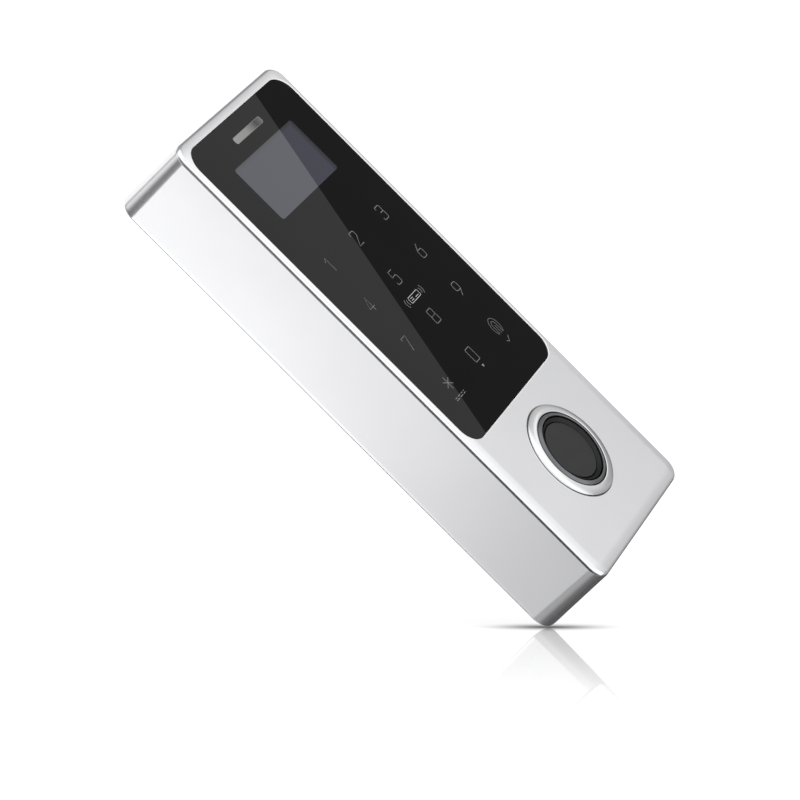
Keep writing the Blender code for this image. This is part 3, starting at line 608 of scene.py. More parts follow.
def crown_steps(turn_run=2.2 * MM, slow_run=3.4 * MM, count=16):
    """Steps of the front edge's easing: it leaves the side wall with a near-flat land, turns quickly
    on to the front, then runs slowly out across the face."""
    keys = ((0.0, 90), (0.1, 81), (0.45, 62), (1.0, 7))
    steps = []
    for i in range(count):
        along = (i + 0.5) / count
        for (start, first), (end, last) in zip(keys, keys[1:]):
            if start <= along <= end:
                tilt = math.radians(first + (last - first) * (along - start) / (end - start))
        steps.append((turn_run / count * math.cos(tilt), turn_run / count * math.sin(tilt)))
    for i in range(count):
        tilt = math.radians(7) * (1 - (i + 0.5) / count)
        steps.append((slow_run / count * math.cos(tilt), slow_run / count * math.sin(tilt)))
    return steps


def recess_tool():
    """The panel's recess with the cut bevel of its rim."""
    clearance = 0.12 * MM
    reach = clearance + CUT_WIDTH
    start = FRONT + 0.04 * MM
    low = Vector((PANEL_LOW.x - reach, FRONT - MM, PANEL_LOW.z - reach))
    high = Vector((PANEL_HIGH.x + reach, start, PANEL_HIGH.z + reach))
    tool = bar("recess_tool", low, high, PANEL_R + CUT_WIDTH, 20)
    step_in(tool, (0, 1, 0), [(CUT_WIDTH, CUT_WIDTH), (0, FRONT + PANEL_SEAT - start - CUT_WIDTH)])
    return tool


def reader_bore_tool():
    """The reader's counterbore and bore, with an eased mouth."""
    seat = FRONT + COUNTERBORE
    through = FRONT + 7 * MM
    mouth = BEZEL_R + 0.42 * MM
    section = eased([(0.0, FRONT - MM, 0), (mouth, FRONT - MM, 0), (mouth, FRONT - 0.001 * MM, 0),
                     (BEZEL_R + GAP, FRONT + 0.12 * MM, 0), (BEZEL_R + GAP, seat, 0),
                     (BARREL_BORE_R, seat, 0), (BARREL_BORE_R, through, 0), (0.0, through, 0)])
    return turned("bore_tool", READER, section, 96)


def make_housing():
    """The die-cast shell: crowned front edge, recess, reader bore, hollow back and its inner posts."""
    crown = crown_steps()
    rear = SHELL_HIGH.y - REAR_EASE
    base_low = Vector((SHELL_LOW.x, rear - MM, SHELL_LOW.z))
    base_high = Vector((SHELL_HIGH.x, rear, SHELL_HIGH.z))
    shell = bar("housing", base_low, base_high, CORNER_R, 20)
    wall_run = rear - MM - FRONT - sum(outwards for _, outwards in crown)
    step_in(shell, (0, -1, 0), [(DRAFT, wall_run)] + crown)
    step_in(shell, (0, 1, 0), quarter_steps(REAR_EASE, REAR_EASE, 4))
    inner_low = Vector((FACE_LOW.x + WALL, FRONT + FRONT_WALL, FACE_LOW.z + WALL))
    inner_high = Vector((FACE_HIGH.x - WALL, 2 * MM, FACE_HIGH.z - WALL))
    hollow = bar("hollow_tool", inner_low, inner_high, CORNER_R - WALL, 12)
    ledge = PANEL_SEAT + GAP
    window_low = Vector((PANEL_LOW.x + ledge, FRONT, PANEL_LOW.z + ledge))
    window_high = Vector((PANEL_HIGH.x - ledge, FRONT + FRONT_WALL + MM, PANEL_HIGH.z - ledge))
    window = bar("window_tool", window_low, window_high, PANEL_R - PANEL_SEAT, 10)
    combine(shell, [hollow, recess_tool(), window, reader_bore_tool()])
    combine(shell, inner_posts(), "UNION")
    combine(shell, screw_pocket())
    open_mesh(shell)
    bpy.ops.mesh.select_all(action="SELECT")
    bpy.ops.mesh.remove_doubles(threshold=0.002 * MM)
    shell.data.materials.append(FINISH["satin_zinc"])
    shell.data.materials.append(RIM_PAINTED_HIGHLIGHT)
    # The recess rim's faces take the pale finish, a painted highlight round the panel.
    margin = 0.6 * MM
    pick_faces(shell, lambda middle, normal: -0.9 < normal.y < -0.5
               and middle.y < PANEL_FACE and abs(middle.x) < PANEL_HIGH.x + margin
               and PANEL_LOW.z - margin < middle.z < PANEL_HIGH.z + margin)
    shell.active_material_index = 1
    bpy.ops.object.material_slot_assign()
    close_mesh()
    fair(shell, 30)
    return settle(shell, "terminal", "satin_zinc", None, "front_housing")


def inner_posts():
    """Screw posts with their webs, the rib that the hooks hold, and the pad for the security screw."""
    posts = []
    post_r, hole_r = 3.2 * MM, 1.5 * MM
    foot, hole_end, top = -20 * MM, -14 * MM, -5.3 * MM
    for x, z in screw_places():
        section = eased([(0.0, foot, 0), (post_r, foot, 0.5 * MM), (post_r, top, 0.2 * MM),
                         (hole_r, top, 0), (hole_r, hole_end, 0), (0.0, hole_end, 0)], 3)
        posts.append(turned("post", Vector((x, 0, z)), section, 32))
        side = math.copysign(1, x)
        reach = sorted((x + side * 2.0 * MM, side * (FACE_HIGH.x - WALL + 0.8 * MM)))
        posts.append(bar("web", (reach[0], foot + MM, z - 1.5 * MM),
                         (reach[1], top - MM, z + 1.5 * MM)))
    posts.append(bar("rib", (-27 * MM, -3.4 * MM, 86.5 * MM), (27 * MM, -1.9 * MM, 91.3 * MM)))
    posts.append(bar("pad", (-8 * MM, -10 * MM, -91.5 * MM), (8 * MM, -0.5 * MM, -87.5 * MM)))
    return posts


def screw_pocket():
    """The pocket and slot for the security screw, both open to the rear."""
    pocket = bar("pocket_tool", (-3.4 * MM, -8.4 * MM, -94 * MM), (3.4 * MM, 2 * MM, -90.2 * MM))
    slot = bar("slot_tool", (-1.8 * MM, -6.8 * MM, -94 * MM), (1.8 * MM, 2 * MM, -86 * MM))
    return [pocket, slot]


def screw_places():
    """Middles of the rear cover's screws, from their CAD boxes."""
    places = []
    for number in range(1, 7):
        low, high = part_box(f"cover_screw_{number}")
        places.append(((low.x + high.x) / 2, (low.z + high.z) / 2))
    return places


# ---------------------------------------------------------------- keypad panel

WINDOW_LOW = Vector((-21.7 * MM, PANEL_FACE, 54.1 * MM))
WINDOW_HIGH = Vector((21.7 * MM, PANEL_FACE, 75.4 * MM))
BAR_LOW = Vector((-9.9 * MM, PANEL_FACE, 80.65 * MM))
BAR_HIGH = Vector((9.9 * MM, PANEL_FACE, 82.95 * MM))
KEY_X = (-21.2 * MM, 0.0, 21.2 * MM)
KEY_Z = (34.3 * MM, 17.2 * MM, 0.2 * MM, -16.9 * MM)


def make_panel():
    """The cover glass: a rounded plate with a ground and polished edge."""
    bevel = 0.12 * MM
    low = Vector((PANEL_LOW.x, PANEL_FACE + bevel, PANEL_LOW.z))
    panel = bar("cover_glass", low, PANEL_HIGH, PANEL_R - GAP, 24)
    step_in(panel, (0, -1, 0), quarter_steps(bevel, bevel, 4))
    fair(panel)
    return settle(panel, "terminal", "panel_glass", FINISH["panel_glass"], "keypad_panel")


def make_window(name, low, high, corner, finish, slot):
    """A clear window left in the black print, with a softly rounded outline."""
    pane = bar(name, low - Vector((0, PRINT, 0)), high + Vector((0, PRINT, 0)), corner, 8)
    fair(pane)
    return settle(pane, "terminal", slot, finish)


def make_windows():
    """The display window and the status window, the latter with a pale printed rim."""
    make_window("display_pane", WINDOW_LOW, WINDOW_HIGH, 1.1 * MM, display_window(WINDOW_HIGH),
                "display_glass")
    rim = Vector((0.12 * MM, -0.4 * PRINT, 0.12 * MM))
    low = BAR_LOW - rim
    high = BAR_HIGH + rim
    make_window("status_rim", low, high, 0.9 * MM, key_ink("pale_rim_ink", "#7c7c7c", "#868686"),
                "light_diffuser")
    make_window("status_pane", BAR_LOW, BAR_HIGH, 0.8 * MM, status_diffuser(BAR_LOW, BAR_HIGH),
                "light_diffuser")


def stroke_mark(name, paths, centre, line, finish):
    """A printed mark from centre-line paths of (x, z, corner radius) in millimetres.

    A path whose ends meet is closed. The line is a flat ribbon of this width."""
    curve = bpy.data.curves.new(name, "CURVE")
    curve.dimensions = "3D"
    curve.bevel_depth = line / 2
    curve.bevel_resolution = 1
    curve.use_fill_caps = True
    for path in paths:
        closed = path[0][:2] == path[-1][:2]
        corners = path[:-1] if closed else path
        points = eased(corners, 5, closed)
        spline = curve.splines.new("POLY")
        spline.points.add(len(points) - 1)
        spline.use_cyclic_u = closed
        for target, point in zip(spline.points, points):
            target.co = (point.x * MM, 0.0, point.y * MM, 1.0)
    obj = bpy.data.objects.new(name, curve)
    bpy.context.scene.collection.objects.link(obj)
    take(obj)
    bpy.ops.object.convert(target="MESH")
    obj = bpy.context.object
    obj.data.name = name
    obj.scale = (1.0, 2 * PRINT / line, 1.0)
    obj.location = (centre[0], PANEL_FACE, centre[1])
    bpy.ops.object.transform_apply(location=True, rotation=True, scale=True)
    return settle(obj, "terminal", "panel_glass", finish)


DIGITS = {
    "0": [[(-1.6, -2.6, 0.4), (1.6, -2.6, 0.4), (1.6, 2.6, 0.4), (-1.6, 2.6, 0.4), (-1.6, -2.6, 0.4)]],
    "1": [[(-0.9, 1.3, 0), (0.5, 2.6, 0), (0.5, -2.6, 0)]],
    "2": [[(-1.5, 1.5, 0), (-1.5, 2.6, 0.9), (1.5, 2.6, 0.9), (1.5, 0.7, 0.9), (-1.5, -2.6, 0),
           (1.6, -2.6, 0)]],
    "3": [[(-1.5, 1.7, 0), (-1.5, 2.6, 0.8), (1.4, 2.6, 0.8), (1.4, 0.15, 0.7), (-0.6, 0.15, 0)],
          [(0.4, 0.15, 0), (1.5, 0.15, 0.7), (1.5, -2.6, 0.8), (-1.5, -2.6, 0.8), (-1.5, -1.7, 0)]],
    "4": [[(0.6, -2.6, 0), (0.6, 2.6, 0), (-1.7, -1.3, 0), (1.7, -1.3, 0)]],
    "5": [[(1.4, 2.6, 0), (-1.2, 2.6, 0), (-1.4, 0.35, 0), (1.5, 0.6, 0.9), (1.5, -2.6, 0.9),
           (-1.5, -2.6, 0.8), (-1.5, -1.7, 0)]],
    "6": [[(0.7, 2.6, 0), (-1.5, 0.2, 0.9), (-1.5, -2.6, 0.9), (1.5, -2.6, 0.9), (1.5, 0.5, 0.9),
           (-1.3, 0.5, 0)]],
    "7": [[(-1.5, 1.8, 0), (-1.5, 2.6, 0), (1.5, 2.6, 0), (-0.5, -2.6, 0)]],
    "8": [[(-1.5, 0.1, 0.5), (1.5, 0.1, 0.5), (1.5, 2.6, 0.5), (-1.5, 2.6, 0.5), (-1.5, 0.1, 0.5)],
          [(-1.6, -2.6, 0.5), (1.6, -2.6, 0.5), (1.6, 0.1, 0.5), (-1.6, 0.1, 0.5), (-1.6, -2.6, 0.5)]],
    "9": [[(-0.7, -2.6, 0), (1.5, -0.2, 0.9), (1.5, 2.6, 0.9), (-1.5, 2.6, 0.9), (-1.5, -0.5, 0.9),
           (1.3, -0.5, 0)]],
}


def make_keys():
    """Digits 1 to 9, the star and 0, on a grid of three columns and four rows."""
    ink = key_ink("grey_legend_ink", "#6a6a6a", "#747474")
    line = 0.32 * MM
    for number, digit in enumerate("123456789"):
        place = (KEY_X[number % 3], KEY_Z[number // 3])
        stroke_mark(f"key_{digit}", DIGITS[digit], place, line, ink)
    stroke_mark("key_0", DIGITS["0"], (KEY_X[1], KEY_Z[3]), line, ink)
    star_r = 2.4
    arms = []
    for turn in range(3):
        angle = math.radians(90 + 60 * turn)
        tip = (star_r * math.cos(angle), star_r * math.sin(angle), 0)
        arms.append([tip, (-tip[0], -tip[1], 0)])
    stroke_mark("key_star", arms, (KEY_X[0], KEY_Z[3]), 0.36 * MM, ink)
    stroke_mark("key_reader_sign", reader_sign(), (KEY_X[2], KEY_Z[3]), 0.24 * MM, ink)


def arc(centre, radius_x, radius_z, start, end, steps=12):
    """An arc as a path, in millimetres and degrees."""
    path = []
    for step in range(steps + 1):
        angle = math.radians(start + (end - start) * step / steps)
        path.append((centre[0] + radius_x * math.cos(angle), centre[1] + radius_z * math.sin(angle), 0))
    return path


def reader_sign():
    """A plain sign for the finger reader: nested arches, open below."""
    inner_arch = arc((0, 0.6), 1.2, 1.6, 0, 180, 12) + [(-1.2, -2.2, 0)]
    return [arc((0, 0.2), 2.5, 3.3, -58, 238, 24), inner_arch, [(1.2, 0.6, 0), (1.2, -2.5, 0)],
            [(0, 0.6, 0), (0, -2.6, 0)]]


def make_small_marks():
    """Small bright marks: a card with waves for the card area, a dot and two little signs."""
    ink = key_ink("bright_legend_ink", "#c4c4c4", "#d0d0d0")
    soft = key_ink("soft_legend_ink", "#888888", "#949494")
    outline = [(-3.6, -1.1, 0.4), (3.6, -1.1, 0.4), (3.6, 1.1, 0.4), (-3.6, 1.1, 0.4),
               (-3.6, -1.1, 0.4)]
    card = [outline, [(-2.6, 0.35, 0), (-0.9, 0.35, 0)], [(-2.6, -0.4, 0), (-0.9, -0.4, 0)],
            [(0.4, -0.4, 0), (2.6, -0.4, 0)]]
    middle = (0.0, 8.7 * MM)
    stroke_mark("card_sign", card, middle, 0.2 * MM, ink)
    waves = [arc((side * 2.6, 0), side * reach, reach * 0.7, -34, 34, 8)
             for side in (-1, 1) for reach in (2.6, 3.9)]
    stroke_mark("card_waves", waves, middle, 0.2 * MM, soft)
    stroke_mark("guide_dot", [[(0, -0.45, 0), (0.4, 0.3, 0), (-0.4, 0.3, 0), (0, -0.45, 0)]],
                (0.0, -21.7 * MM), 0.3 * MM, ink)
    dashes = [(-3.4, -2.2, 0.4), (-1.5, 0.3, 0.4), (1.0, 2.1, 0.4), (2.8, 3.4, 0.4),
              (-3.4, -1.2, -0.35), (-0.5, 1.4, -0.35), (2.1, 3.4, -0.35)]
    bars = [[(start, height, 0), (end, height, 0)] for start, end, height in dashes]
    stroke_mark("list_sign", bars, (-21.2 * MM, -22.4 * MM), 0.24 * MM, soft)
    tick = [[(-1.3, 0.1, 0), (-0.4, -0.8, 0), (1.4, 1.0, 0)]]
    stroke_mark("tick_sign", tick, (21.2 * MM, -22.4 * MM), 0.22 * MM, soft)


# ---------------------------------------------------------------- fingerprint reader

BEZEL_TILT = (4, 21)                 # degrees that its face falls away, inside and outside


def make_reader():
    """Turned bezel, sensor ring, sloping seal and the sensor's face."""
    crown = BEZEL_LOW.y
    bore = 13.86 * MM
    barrel_r = 15 * MM
    barrel_end = -20 * MM
    flange_back = FRONT + 0.5 * MM
    lip = 0.4 * MM
    count = 16
    run = (BEZEL_R - bore - lip) / count
    land = [(bore + lip, crown, 0)]
    for step in range(count):
        tilt = math.radians(BEZEL_TILT[0] + (BEZEL_TILT[1] - BEZEL_TILT[0]) * (step + 0.5) / count)
        radius, height, _ = land[-1]
        land.append((radius + run, height + run * math.tan(tilt), 0))
    land[-1] = (*land[-1][:2], 0.12 * MM)
    section = eased([(bore, barrel_end, 0.1 * MM), (barrel_r, barrel_end, 0.2 * MM),
                     (barrel_r, flange_back, 0), (BEZEL_R, flange_back, 0.1 * MM), *land[::-1],
                     (bore + 0.12 * MM, crown + 0.06 * MM, 0), (bore, crown + 0.35 * MM, 0)], 4)
    bezel = turned("bezel", READER, section, 160)
    fair(bezel)
    settle(bezel, "terminal", "satin_zinc", POLISHED, "reader_bezel")

    # A thin dark grey ring fills the gap round the bezel. It is painted shade in place of the gap's own
    # shade, and draws an even dark outline.
    inner, outer = BEZEL_R + 0.02 * MM, BEZEL_R + GAP - 0.01 * MM
    under = FRONT + 0.6 * MM
    section = eased([(inner, under, 0), (outer, under, 0),
                     (outer, FRONT + 0.1 * MM, 0.08 * MM), (inner, FRONT + 0.06 * MM, 0.08 * MM)], 4)
    gap_shade_ring = turned("bezel_gap_shade_ring", READER, section, 160)
    fair(gap_shade_ring)
    settle(gap_shade_ring, "terminal", "seal_rubber", GAP_SHADE_GREY)

    seat = FRONT + MM
    outer = (RING_HIGH.x - RING_LOW.x) / 2
    crest = RING_LOW.y
    inner = 12.3 * MM
    section = eased([(inner, seat, 0), (outer, seat, 0), (outer, crest + 0.5 * MM, 0.15 * MM),
                     (inner + GAP, crest, 0.25 * MM), (inner, crest + 0.05 * MM, 0.1 * MM)], 6)
    ring = turned("sensor_ring_turned", READER, section)
    fair(ring)
    settle(ring, "terminal", "sensor_ring_metal", FINISH["sensor_ring_metal"], "sensor_ring")

    inner = 10.6 * MM
    outer = (SEAL_HIGH.x - SEAL_LOW.x) / 2
    section = eased([(inner, seat, 0), (outer, seat, 0), (outer, FRONT - 1.3 * MM, 0.15 * MM),
                     (inner + 0.25 * MM, FRONT - 0.45 * MM, 0.3 * MM),
                     (inner, FRONT - 0.2 * MM, 0.1 * MM)], 6)
    seal = turned("sensor_seal_moulded", READER, section)
    fair(seal)
    settle(seal, "terminal", "seal_rubber", FINISH["seal_rubber"], "sensor_seal")

    radius = (SENSOR_HIGH.x - SENSOR_LOW.x) / 2
    face = SENSOR_LOW.y
    section = eased([(0.0, seat, 0), (radius, seat, 0), (radius, face, 0.2 * MM), (0.0, face, 0)], 5)
    disc = turned("sensor_face", READER, section)
    fair(disc)
    settle(disc, "terminal", "sensor_coating", FINISH["sensor_coating"], "sensor_glass")


# ---------------------------------------------------------------- back and bottom

def cross_recess(centre, seat, size, depth):
    """Tools for a cross driver recess cut towards -Y from the seat."""
    arm = size * 0.22
    tools = []
    for half_x, half_z in ((size, arm), (arm, size)):
        tools.append(bar("cross_tool", (centre[0] - half_x, seat - depth, centre[1] - half_z),
                         (centre[0] + half_x, seat + MM, centre[1] + half_z)))
    return tools


def make_cover():
    """The moulded rear cover with its six screws."""
    cover = from_frame("rear_cover", "cover", 0.2 * MM)
    fair(cover)
    settle(cover, "terminal", "black_plastic", FINISH["black_plastic"], "rear_cover")

    low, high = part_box("cover_screw_1")
    middle = ((low.x + high.x) / 2, (low.z + high.z) / 2)
    radius = (high.x - low.x) / 2
    head = high.y - 1.0 * MM
    section = eased([(0.0, low.y, 0), (1.2 * MM, low.y + MM, 0.2 * MM), (1.2 * MM, head, 0),
                     (radius, head, 0.1 * MM), (radius, high.y, 0.45 * MM), (0.0, high.y, 0)], 5)
    screw = turned("cover_screw", (middle[0], 0.0, middle[1]), section, 40)
    combine(screw, cross_recess(middle, high.y, 1.5 * MM, 0.7 * MM))
    fair(screw)
    for number, (x, z) in enumerate(screw_places(), start=1):
        copy = screw
        if number > 1:
            copy = bpy.data.objects.new("screw", screw.data.copy())
            bpy.context.scene.collection.objects.link(copy)
            copy.data.materials.clear()
            copy.data.transform(Matrix.Translation((x - middle[0], 0.0, z - middle[1])))
        copy.name = f"cover_screw_head_{number}"
        settle(copy, "terminal", "zinc_plated_steel", BLACKED, f"cover_screw_{number}")


def make_headers():
    """Wiring sockets with their rows of square pins."""
    for node, columns in (("wiring_header", 8), ("network_header", 4)):
        shroud = from_frame(node, node + "_shroud", 0.15 * MM)
        fair(shroud)
        settle(shroud, "terminal", "header_plastic", FINISH["header_plastic"], node)
        low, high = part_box(node)
        end_pin = 3 * MM                # from the shroud's end to the middle of its first pin
        span = high.x - low.x - 2 * end_pin
        z = (low.z + high.z) / 2
        half = 0.5 * MM
        pins = []
        for column in range(columns):
            x = low.x + end_pin + span * column / (columns - 1)
            pin = bar("pin", (x - half, low.y + 0.9 * MM, z - half),
                      (x + half, high.y - 1.2 * MM, z + half))
            step_in(pin, (0, 1, 0), [(0.2 * MM, 0.3 * MM)])
            pins.append(pin)
        take(pins[0])
        for pin in pins[1:]:
            pin.select_set(True)
        bpy.ops.object.join()
        row = bpy.context.object
        row.name = node + "_pins"
        row.data.name = row.name
        settle(row, "terminal", "zinc_plated_steel", TINNED)


def make_plunger():
    """The tamper switch's domed red plunger."""
    centre = ((PLUNGER_LOW.x + PLUNGER_HIGH.x) / 2, 0.0, (PLUNGER_LOW.z + PLUNGER_HIGH.z) / 2)
    radius = (PLUNGER_HIGH.x - PLUNGER_LOW.x) / 2
    section = eased([(0.0, PLUNGER_LOW.y, 0), (radius, PLUNGER_LOW.y, 0.1 * MM),
                     (radius, PLUNGER_HIGH.y, 0.7 * MM), (0.0, PLUNGER_HIGH.y, 0)], 6)
    plunger = turned("tamper_pin", centre, section, 40)
    fair(plunger)
    settle(plunger, "plunger", "plunger_plastic", FINISH["plunger_plastic"], "tamper_plunger")


def make_security_screw():
    """The captive screw with a hexagon socket in its head and a cut thread."""
    centre = ((SCREW_LOW.x + SCREW_HIGH.x) / 2, (SCREW_LOW.y + SCREW_HIGH.y) / 2, 0.0)
    radius = (SCREW_HIGH.x - SCREW_LOW.x) / 2
    low, high = SCREW_LOW.z, SCREW_HIGH.z
    path = [(0.0, low, 0), (radius, low, 0.35 * MM), (radius, low + 1.7 * MM, 0.1 * MM),
            (1.3 * MM, low + 1.7 * MM, 0)]
    pitch = 0.5 * MM
    root_r, crest_r = 1.25 * MM, 1.5 * MM
    for turn in range(13):
        start = low + 2.2 * MM + turn * pitch
        path += [(root_r, start, 0), (crest_r, start + 0.22 * MM, 0), (crest_r, start + 0.28 * MM, 0)]
    path += [(1.2 * MM, high - 0.4 * MM, 0), (0.9 * MM, high, 0), (0.0, high, 0)]
    screw = turned("captive_screw", centre, eased(path, 4), 48, "Z")
    bpy.ops.mesh.primitive_cylinder_add(vertices=6, radius=1.15 * MM, depth=2 * MM,
                                        location=(centre[0], centre[1], low))
    combine(screw, [fresh("hexagon_tool")])
    fair(screw, 30)
    settle(screw, "screw", "zinc_plated_steel", BLACKED, "security_screw")


def make_bracket():
    """The pressed steel wall bracket, its edges deburred."""
    bracket = from_frame("wall_bracket", "bracket_plate", 0.15 * MM)
    fair(bracket)
    settle(bracket, "bracket", "zinc_plated_steel", FINISH["zinc_plated_steel"], "wall_bracket")


# ---------------------------------------------------------------- studio

CAMERA_PLACE = Vector((-950.464, -641.982, 39.110)) * MM
CAMERA_AZIMUTH = -55.849
CAMERA_ELEVATION = 2.5355
CAMERA_ROLL = 45.077
LENS = 163.265
GLOSS_PLANE = (0.53238709, 0.8253689, -0.18796321)    # normal of the flag's straight edge
TENT_WHITE = 1.12                   # what all but shiny surfaces see of the tent

CONTACT_REACH = 0.03                # metres over which the floor's painted contact shadow fades
MIRROR_REACH = 0.46                 # metres over which the floor's reflection fades
MIRROR_RISE = 0.022                 # metres over which it sets in, beside the painted contact shadow


def make_camera():
    """A long lens to the left of the terminal, rolled so that the terminal lies across the view."""
    azimuth = math.radians(CAMERA_AZIMUTH)
    elevation = math.radians(CAMERA_ELEVATION)
    back = Vector((math.sin(azimuth) * math.cos(elevation),
                   -math.cos(azimuth) * math.cos(elevation), math.sin(elevation)))
    level = (-back).to_track_quat("-Z", "Y").to_matrix()
    turn = Matrix.Rotation(math.radians(-CAMERA_ROLL), 3, "Z")
    bpy.ops.object.camera_add(location=CAMERA_PLACE)
    camera = bpy.context.object
    camera.name = "studio_camera"
    camera.matrix_world = Matrix.Translation(CAMERA_PLACE) @ (level @ turn).to_4x4()
    camera.data.lens = LENS
    camera.data.sensor_width = 36.0
    camera.data.clip_start = 0.01
    bpy.context.scene.camera = camera
    return camera


def make_floor(camera):
    """A plain pale sweep that touches the terminal's lowest corner in the camera's view.

    It is level for the camera, and glows evenly white except round that corner, where a contact shadow
    is painted dark into its colour and its glow. Seen from below it isn't there, so that no view is
    blocked."""
    up = camera.matrix_world.to_3x3() @ Vector((0, 1, 0))
    arc_middle = Vector((SHELL_LOW.x + CORNER_R, SHELL_HIGH.y, SHELL_LOW.z + CORNER_R))
    sideways = Vector((up.x, 0, up.z)).normalized()
    touch = arc_middle - sideways * CORNER_R - up * 0.05 * MM
    turn = camera.matrix_world.to_3x3() @ Matrix.Rotation(math.radians(-90), 3, "X")
    bpy.ops.mesh.primitive_circle_add(vertices=96, radius=3.0, fill_type="NGON", location=touch,
                                      rotation=turn.to_euler())
    floor = bpy.context.object
    floor.name = "pale_floor"
    material, tree, shader = new_finish("matt_white_sweep", "#c4c4c4", 0.9, Specular_IOR_Level=0.0)
    place = add_node(tree, "ShaderNodeTexCoord")
    distance = add_node(tree, "ShaderNodeVectorMath", {"operation": "LENGTH"},
                        s0=place.outputs["Object"])
    flat = add_node(tree, "ShaderNodeMapping", {"Scale": (1.0, 1.2, 1.0)},
                    Vector=place.outputs["Object"])
    spread = add_node(tree, "ShaderNodeVectorMath", {"operation": "LENGTH"}, s0=flat.outputs[0])
    fade = add_node(tree, "ShaderNodeMapRange", {"interpolation_type": "SMOOTHSTEP", "From Min": 0.0,
                                                 "From Max": MIRROR_REACH, "To Min": 0.52,
                                                 "To Max": 0.0}, Value=distance.outputs["Value"])
    rise = add_node(tree, "ShaderNodeMapRange", {"From Min": 0.0, "From Max": MIRROR_RISE,
                                                 "To Min": 0.1, "To Max": 1.0},
                    Value=spread.outputs["Value"])
    gloss = add_node(tree, "ShaderNodeMath", {"operation": "MULTIPLY"}, s0=fade.outputs[0],
                     s1=rise.outputs[0])
    # Painted contact shadow: near the touching corner the floor's colour goes dark and its glow goes
    # out.
    glow_outside_painted_shadow = add_node(tree, "ShaderNodeMapRange", {"interpolation_type": "SMOOTHSTEP", "From Min": 0.0,
                                                 "From Max": CONTACT_REACH, "To Min": 0.0,
                                                 "To Max": 0.48}, Value=spread.outputs["Value"])
    painted_contact_shadow = add_node(tree, "ShaderNodeValToRGB", {}, Fac=glow_outside_painted_shadow.outputs[0])
    painted_contact_shadow.color_ramp.elements[0].color = linear("#2c2c2c")
    painted_contact_shadow.color_ramp.elements[1].color = linear("#c4c4c4")
    painted_contact_shadow.color_ramp.elements[1].position = 0.4
    tree.links.new(painted_contact_shadow.outputs[0], shader.inputs["Base Color"])
    tree.links.new(glow_outside_painted_shadow.outputs[0], shader.inputs["Emission Strength"])
    shader.inputs["Emission Color"].default_value = (1.0, 1.0, 1.0, 1.0)
    polish = add_node(tree, "ShaderNodeBsdfGlossy", {"Roughness": 0.02, "Color": (1.0, 1.0, 1.0, 1.0)})
    wet = add_node(tree, "ShaderNodeMixShader", {}, s0=gloss.outputs[0], s1=shader.outputs[0],
                   s2=polish.outputs[0])
    clear = add_node(tree, "ShaderNodeBsdfTransparent")
    side = add_node(tree, "ShaderNodeNewGeometry")
    both = add_node(tree, "ShaderNodeMixShader", {}, s0=side.outputs["Backfacing"], s1=wet.outputs[0],
                    s2=clear.outputs[0])
    output = tree.nodes["Material Output"]
    tree.links.new(both.outputs[0], output.inputs["Surface"])
    floor.data.materials.append(material)
    floor.visible_glossy = False


# What a shiny surface sees of the light tent: cards and flags laid over each other, each (azimuth
# from, to, elevation from, to, softness, level), in degrees. Azimuth 0 is straight in front, and
# 90 is to the right.
CARDS = (
    (-60, 38, -90, 90, 24, 1.3),
    (59.8, 180, -90, 90, 5, 0.76),
    (38, 180, 7, 90, 6, 0.64),
    (38, 180, -90, -7.6, 6, 0.8),
    (57.9, 80, -20, -4.9, 1, 0.52),
    (40, 180, 20, 90, 22, 0.34),
    (40, 180, -90, -20, 22, 0.4),
    (82, 180, -30, 50, 26, 0.28),
    (112, 165, 14, 60, 10, 1.1),
    (100, 180, -80, -12, 10, 0.1),
    (-180, -146, -16, 16, 8, 0.15),
    (-146, -109, -4, 12, 6, 1.75),
    (-146, -109, -24, -4, 6, 0.4),
    (-121, -109, -2, 12, 3, 0.66),
    (-180, -112, -90, -18, 14, 0.4),
    (-180, -120, -90, -42, 26, 0.14),
    (-180, -116, 11, 90, 6, 0.19),
    (-180, -116, 49, 90, 24, 0.95),
    (-109, -70, -80, 60, 3, 0.2),
    (-109, -70, -80, -1, 6, 0.02),
    (-12, 12, -24, 24, 14, 0.85),
    (166, 180, -30, 30, 10, 0.7),
    (-180, -166, -30, 30, 10, 0.7),
    (113.5, 127, -10, 5, 1.5, 1.12),
)
BASE_LEVEL = 1.1
FLAG = (20, 60.2, -5.0, 3.6, 0.6, 0.3)


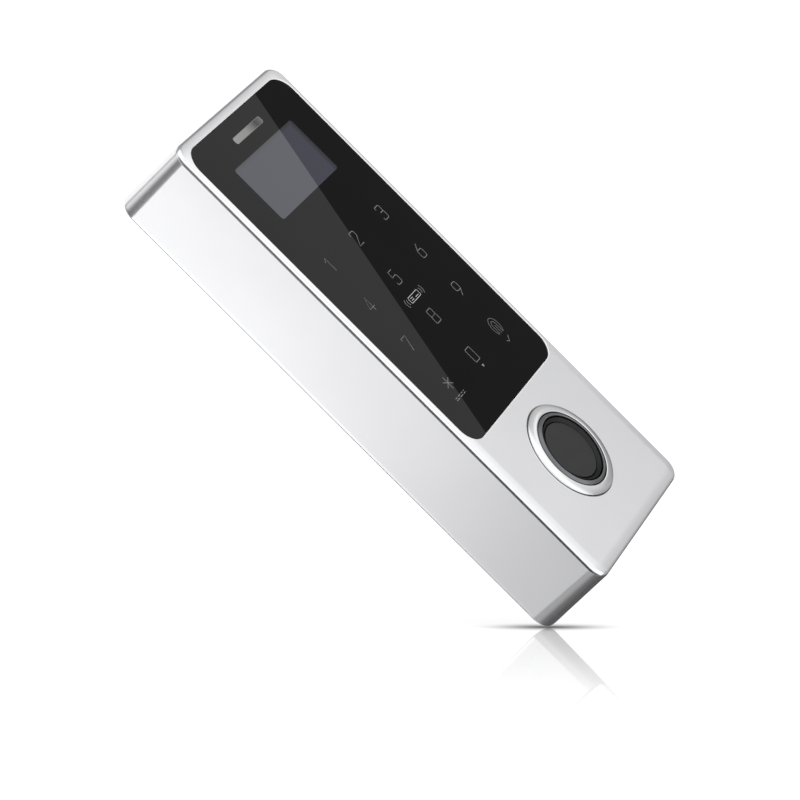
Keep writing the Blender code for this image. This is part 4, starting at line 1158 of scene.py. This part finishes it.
def make_studio_light():
    """A soft light tent: white to matt surfaces, with cards and flags for shiny ones."""
    world = bpy.data.worlds.new("light_tent")
    bpy.context.scene.world = world
    world.use_nodes = True
    world.cycles.sampling_method = "NONE"
    tree = world.node_tree
    tree.nodes.clear()
    place = add_node(tree, "ShaderNodeTexCoord")
    way = place.outputs["Generated"]
    split = add_node(tree, "ShaderNodeSeparateXYZ", {}, Vector=way)
    front = add_node(tree, "ShaderNodeMath", {"operation": "MULTIPLY", 1: -1.0}, s0=split.outputs["Y"])
    azimuth = add_node(tree, "ShaderNodeMath", {"operation": "ARCTAN2"}, s0=split.outputs["X"],
                       s1=front.outputs[0])
    elevation = add_node(tree, "ShaderNodeMath", {"operation": "ARCSINE"}, s0=split.outputs["Z"])
    sides = {"azimuth": azimuth.outputs[0], "elevation": elevation.outputs[0]}

    def ramp(source, start, end, first, last):
        """A soft step between two values of a source."""
        return add_node(tree, "ShaderNodeMapRange", {
            "interpolation_type": "SMOOTHSTEP", "From Min": start, "From Max": end, "To Min": first,
            "To Max": last}, Value=source).outputs[0]

    def zone(left, right, low, high, soft):
        """A mask, 1 inside a patch of the tent and 0 outside."""
        limits = [("azimuth", left, 0, 1), ("azimuth", right, 1, 0), ("elevation", low, 0, 1),
                  ("elevation", high, 1, 0)]
        mask = None
        for side, limit, first, last in limits:
            if abs(limit) in (180, 90):
                continue
            start, end = math.radians(limit - soft / 2), math.radians(limit + soft / 2)
            step = ramp(sides[side], start, end, first, last)
            mask = step if mask is None else add_node(
                tree, "ShaderNodeMath", {"operation": "MULTIPLY"}, s0=mask, s1=step).outputs[0]
        return mask

    def lay(under, mask, value):
        """Lay one card of a level over what is there."""
        mix = add_node(tree, "ShaderNodeMix", {"data_type": "FLOAT"})
        tree.links.new(mask, mix.inputs[0])
        if isinstance(under, float):
            mix.inputs[2].default_value = under
        else:
            tree.links.new(under, mix.inputs[2])
        mix.inputs[3].default_value = value
        return mix.outputs[0]

    level = BASE_LEVEL
    for card in CARDS:
        level = lay(level, zone(*card[:5]), card[5])
    edge = add_node(tree, "ShaderNodeVectorMath", {"operation": "DOT_PRODUCT", 1: GLOSS_PLANE}, s0=way)
    blur = 0.00006                      # half the width of the flag's crisp edge
    past_edge = ramp(edge.outputs["Value"], -blur, blur, 0, 1)
    flag = add_node(tree, "ShaderNodeMath", {"operation": "MULTIPLY"}, s0=past_edge,
                    s1=zone(*FLAG[:5])).outputs[0]
    level = lay(level, flag, FLAG[5])
    path = add_node(tree, "ShaderNodeLightPath")
    shiny = path.outputs["Is Glossy Ray"]
    tent = add_node(tree, "ShaderNodeMix", {"data_type": "FLOAT"})
    tree.links.new(shiny, tent.inputs[0])
    tent.inputs[2].default_value = TENT_WHITE
    tree.links.new(level, tent.inputs[3])
    light = add_node(tree, "ShaderNodeBackground", {"Color": (1.0, 1.0, 1.0, 1.0)},
                     Strength=tent.outputs[0])
    output = add_node(tree, "ShaderNodeOutputWorld")
    tree.links.new(light.outputs[0], output.inputs["Surface"])
    bpy.context.scene.view_settings.view_transform = "Standard"


def make_key_light():
    """One large soft light high on the left, for a little shape on matt surfaces."""
    bpy.ops.object.light_add(type="AREA", location=(-0.9, -1.2, 1.3))
    lamp = bpy.context.object
    lamp.name = "soft_key"
    lamp.data.shape = "DISK"
    lamp.data.size = 0.9
    lamp.data.energy = 4.0
    lamp.rotation_euler = (Vector((0, 0, 0)) - lamp.location).to_track_quat("-Z", "Y").to_euler()
    lamp.visible_camera = False
    lamp.visible_glossy = False


finish_frame()
make_housing()
make_panel()
make_windows()
make_keys()
make_small_marks()
make_reader()
make_cover()
make_headers()
make_plunger()
make_security_screw()
make_bracket()
make_floor(make_camera())
make_studio_light()
make_key_light()
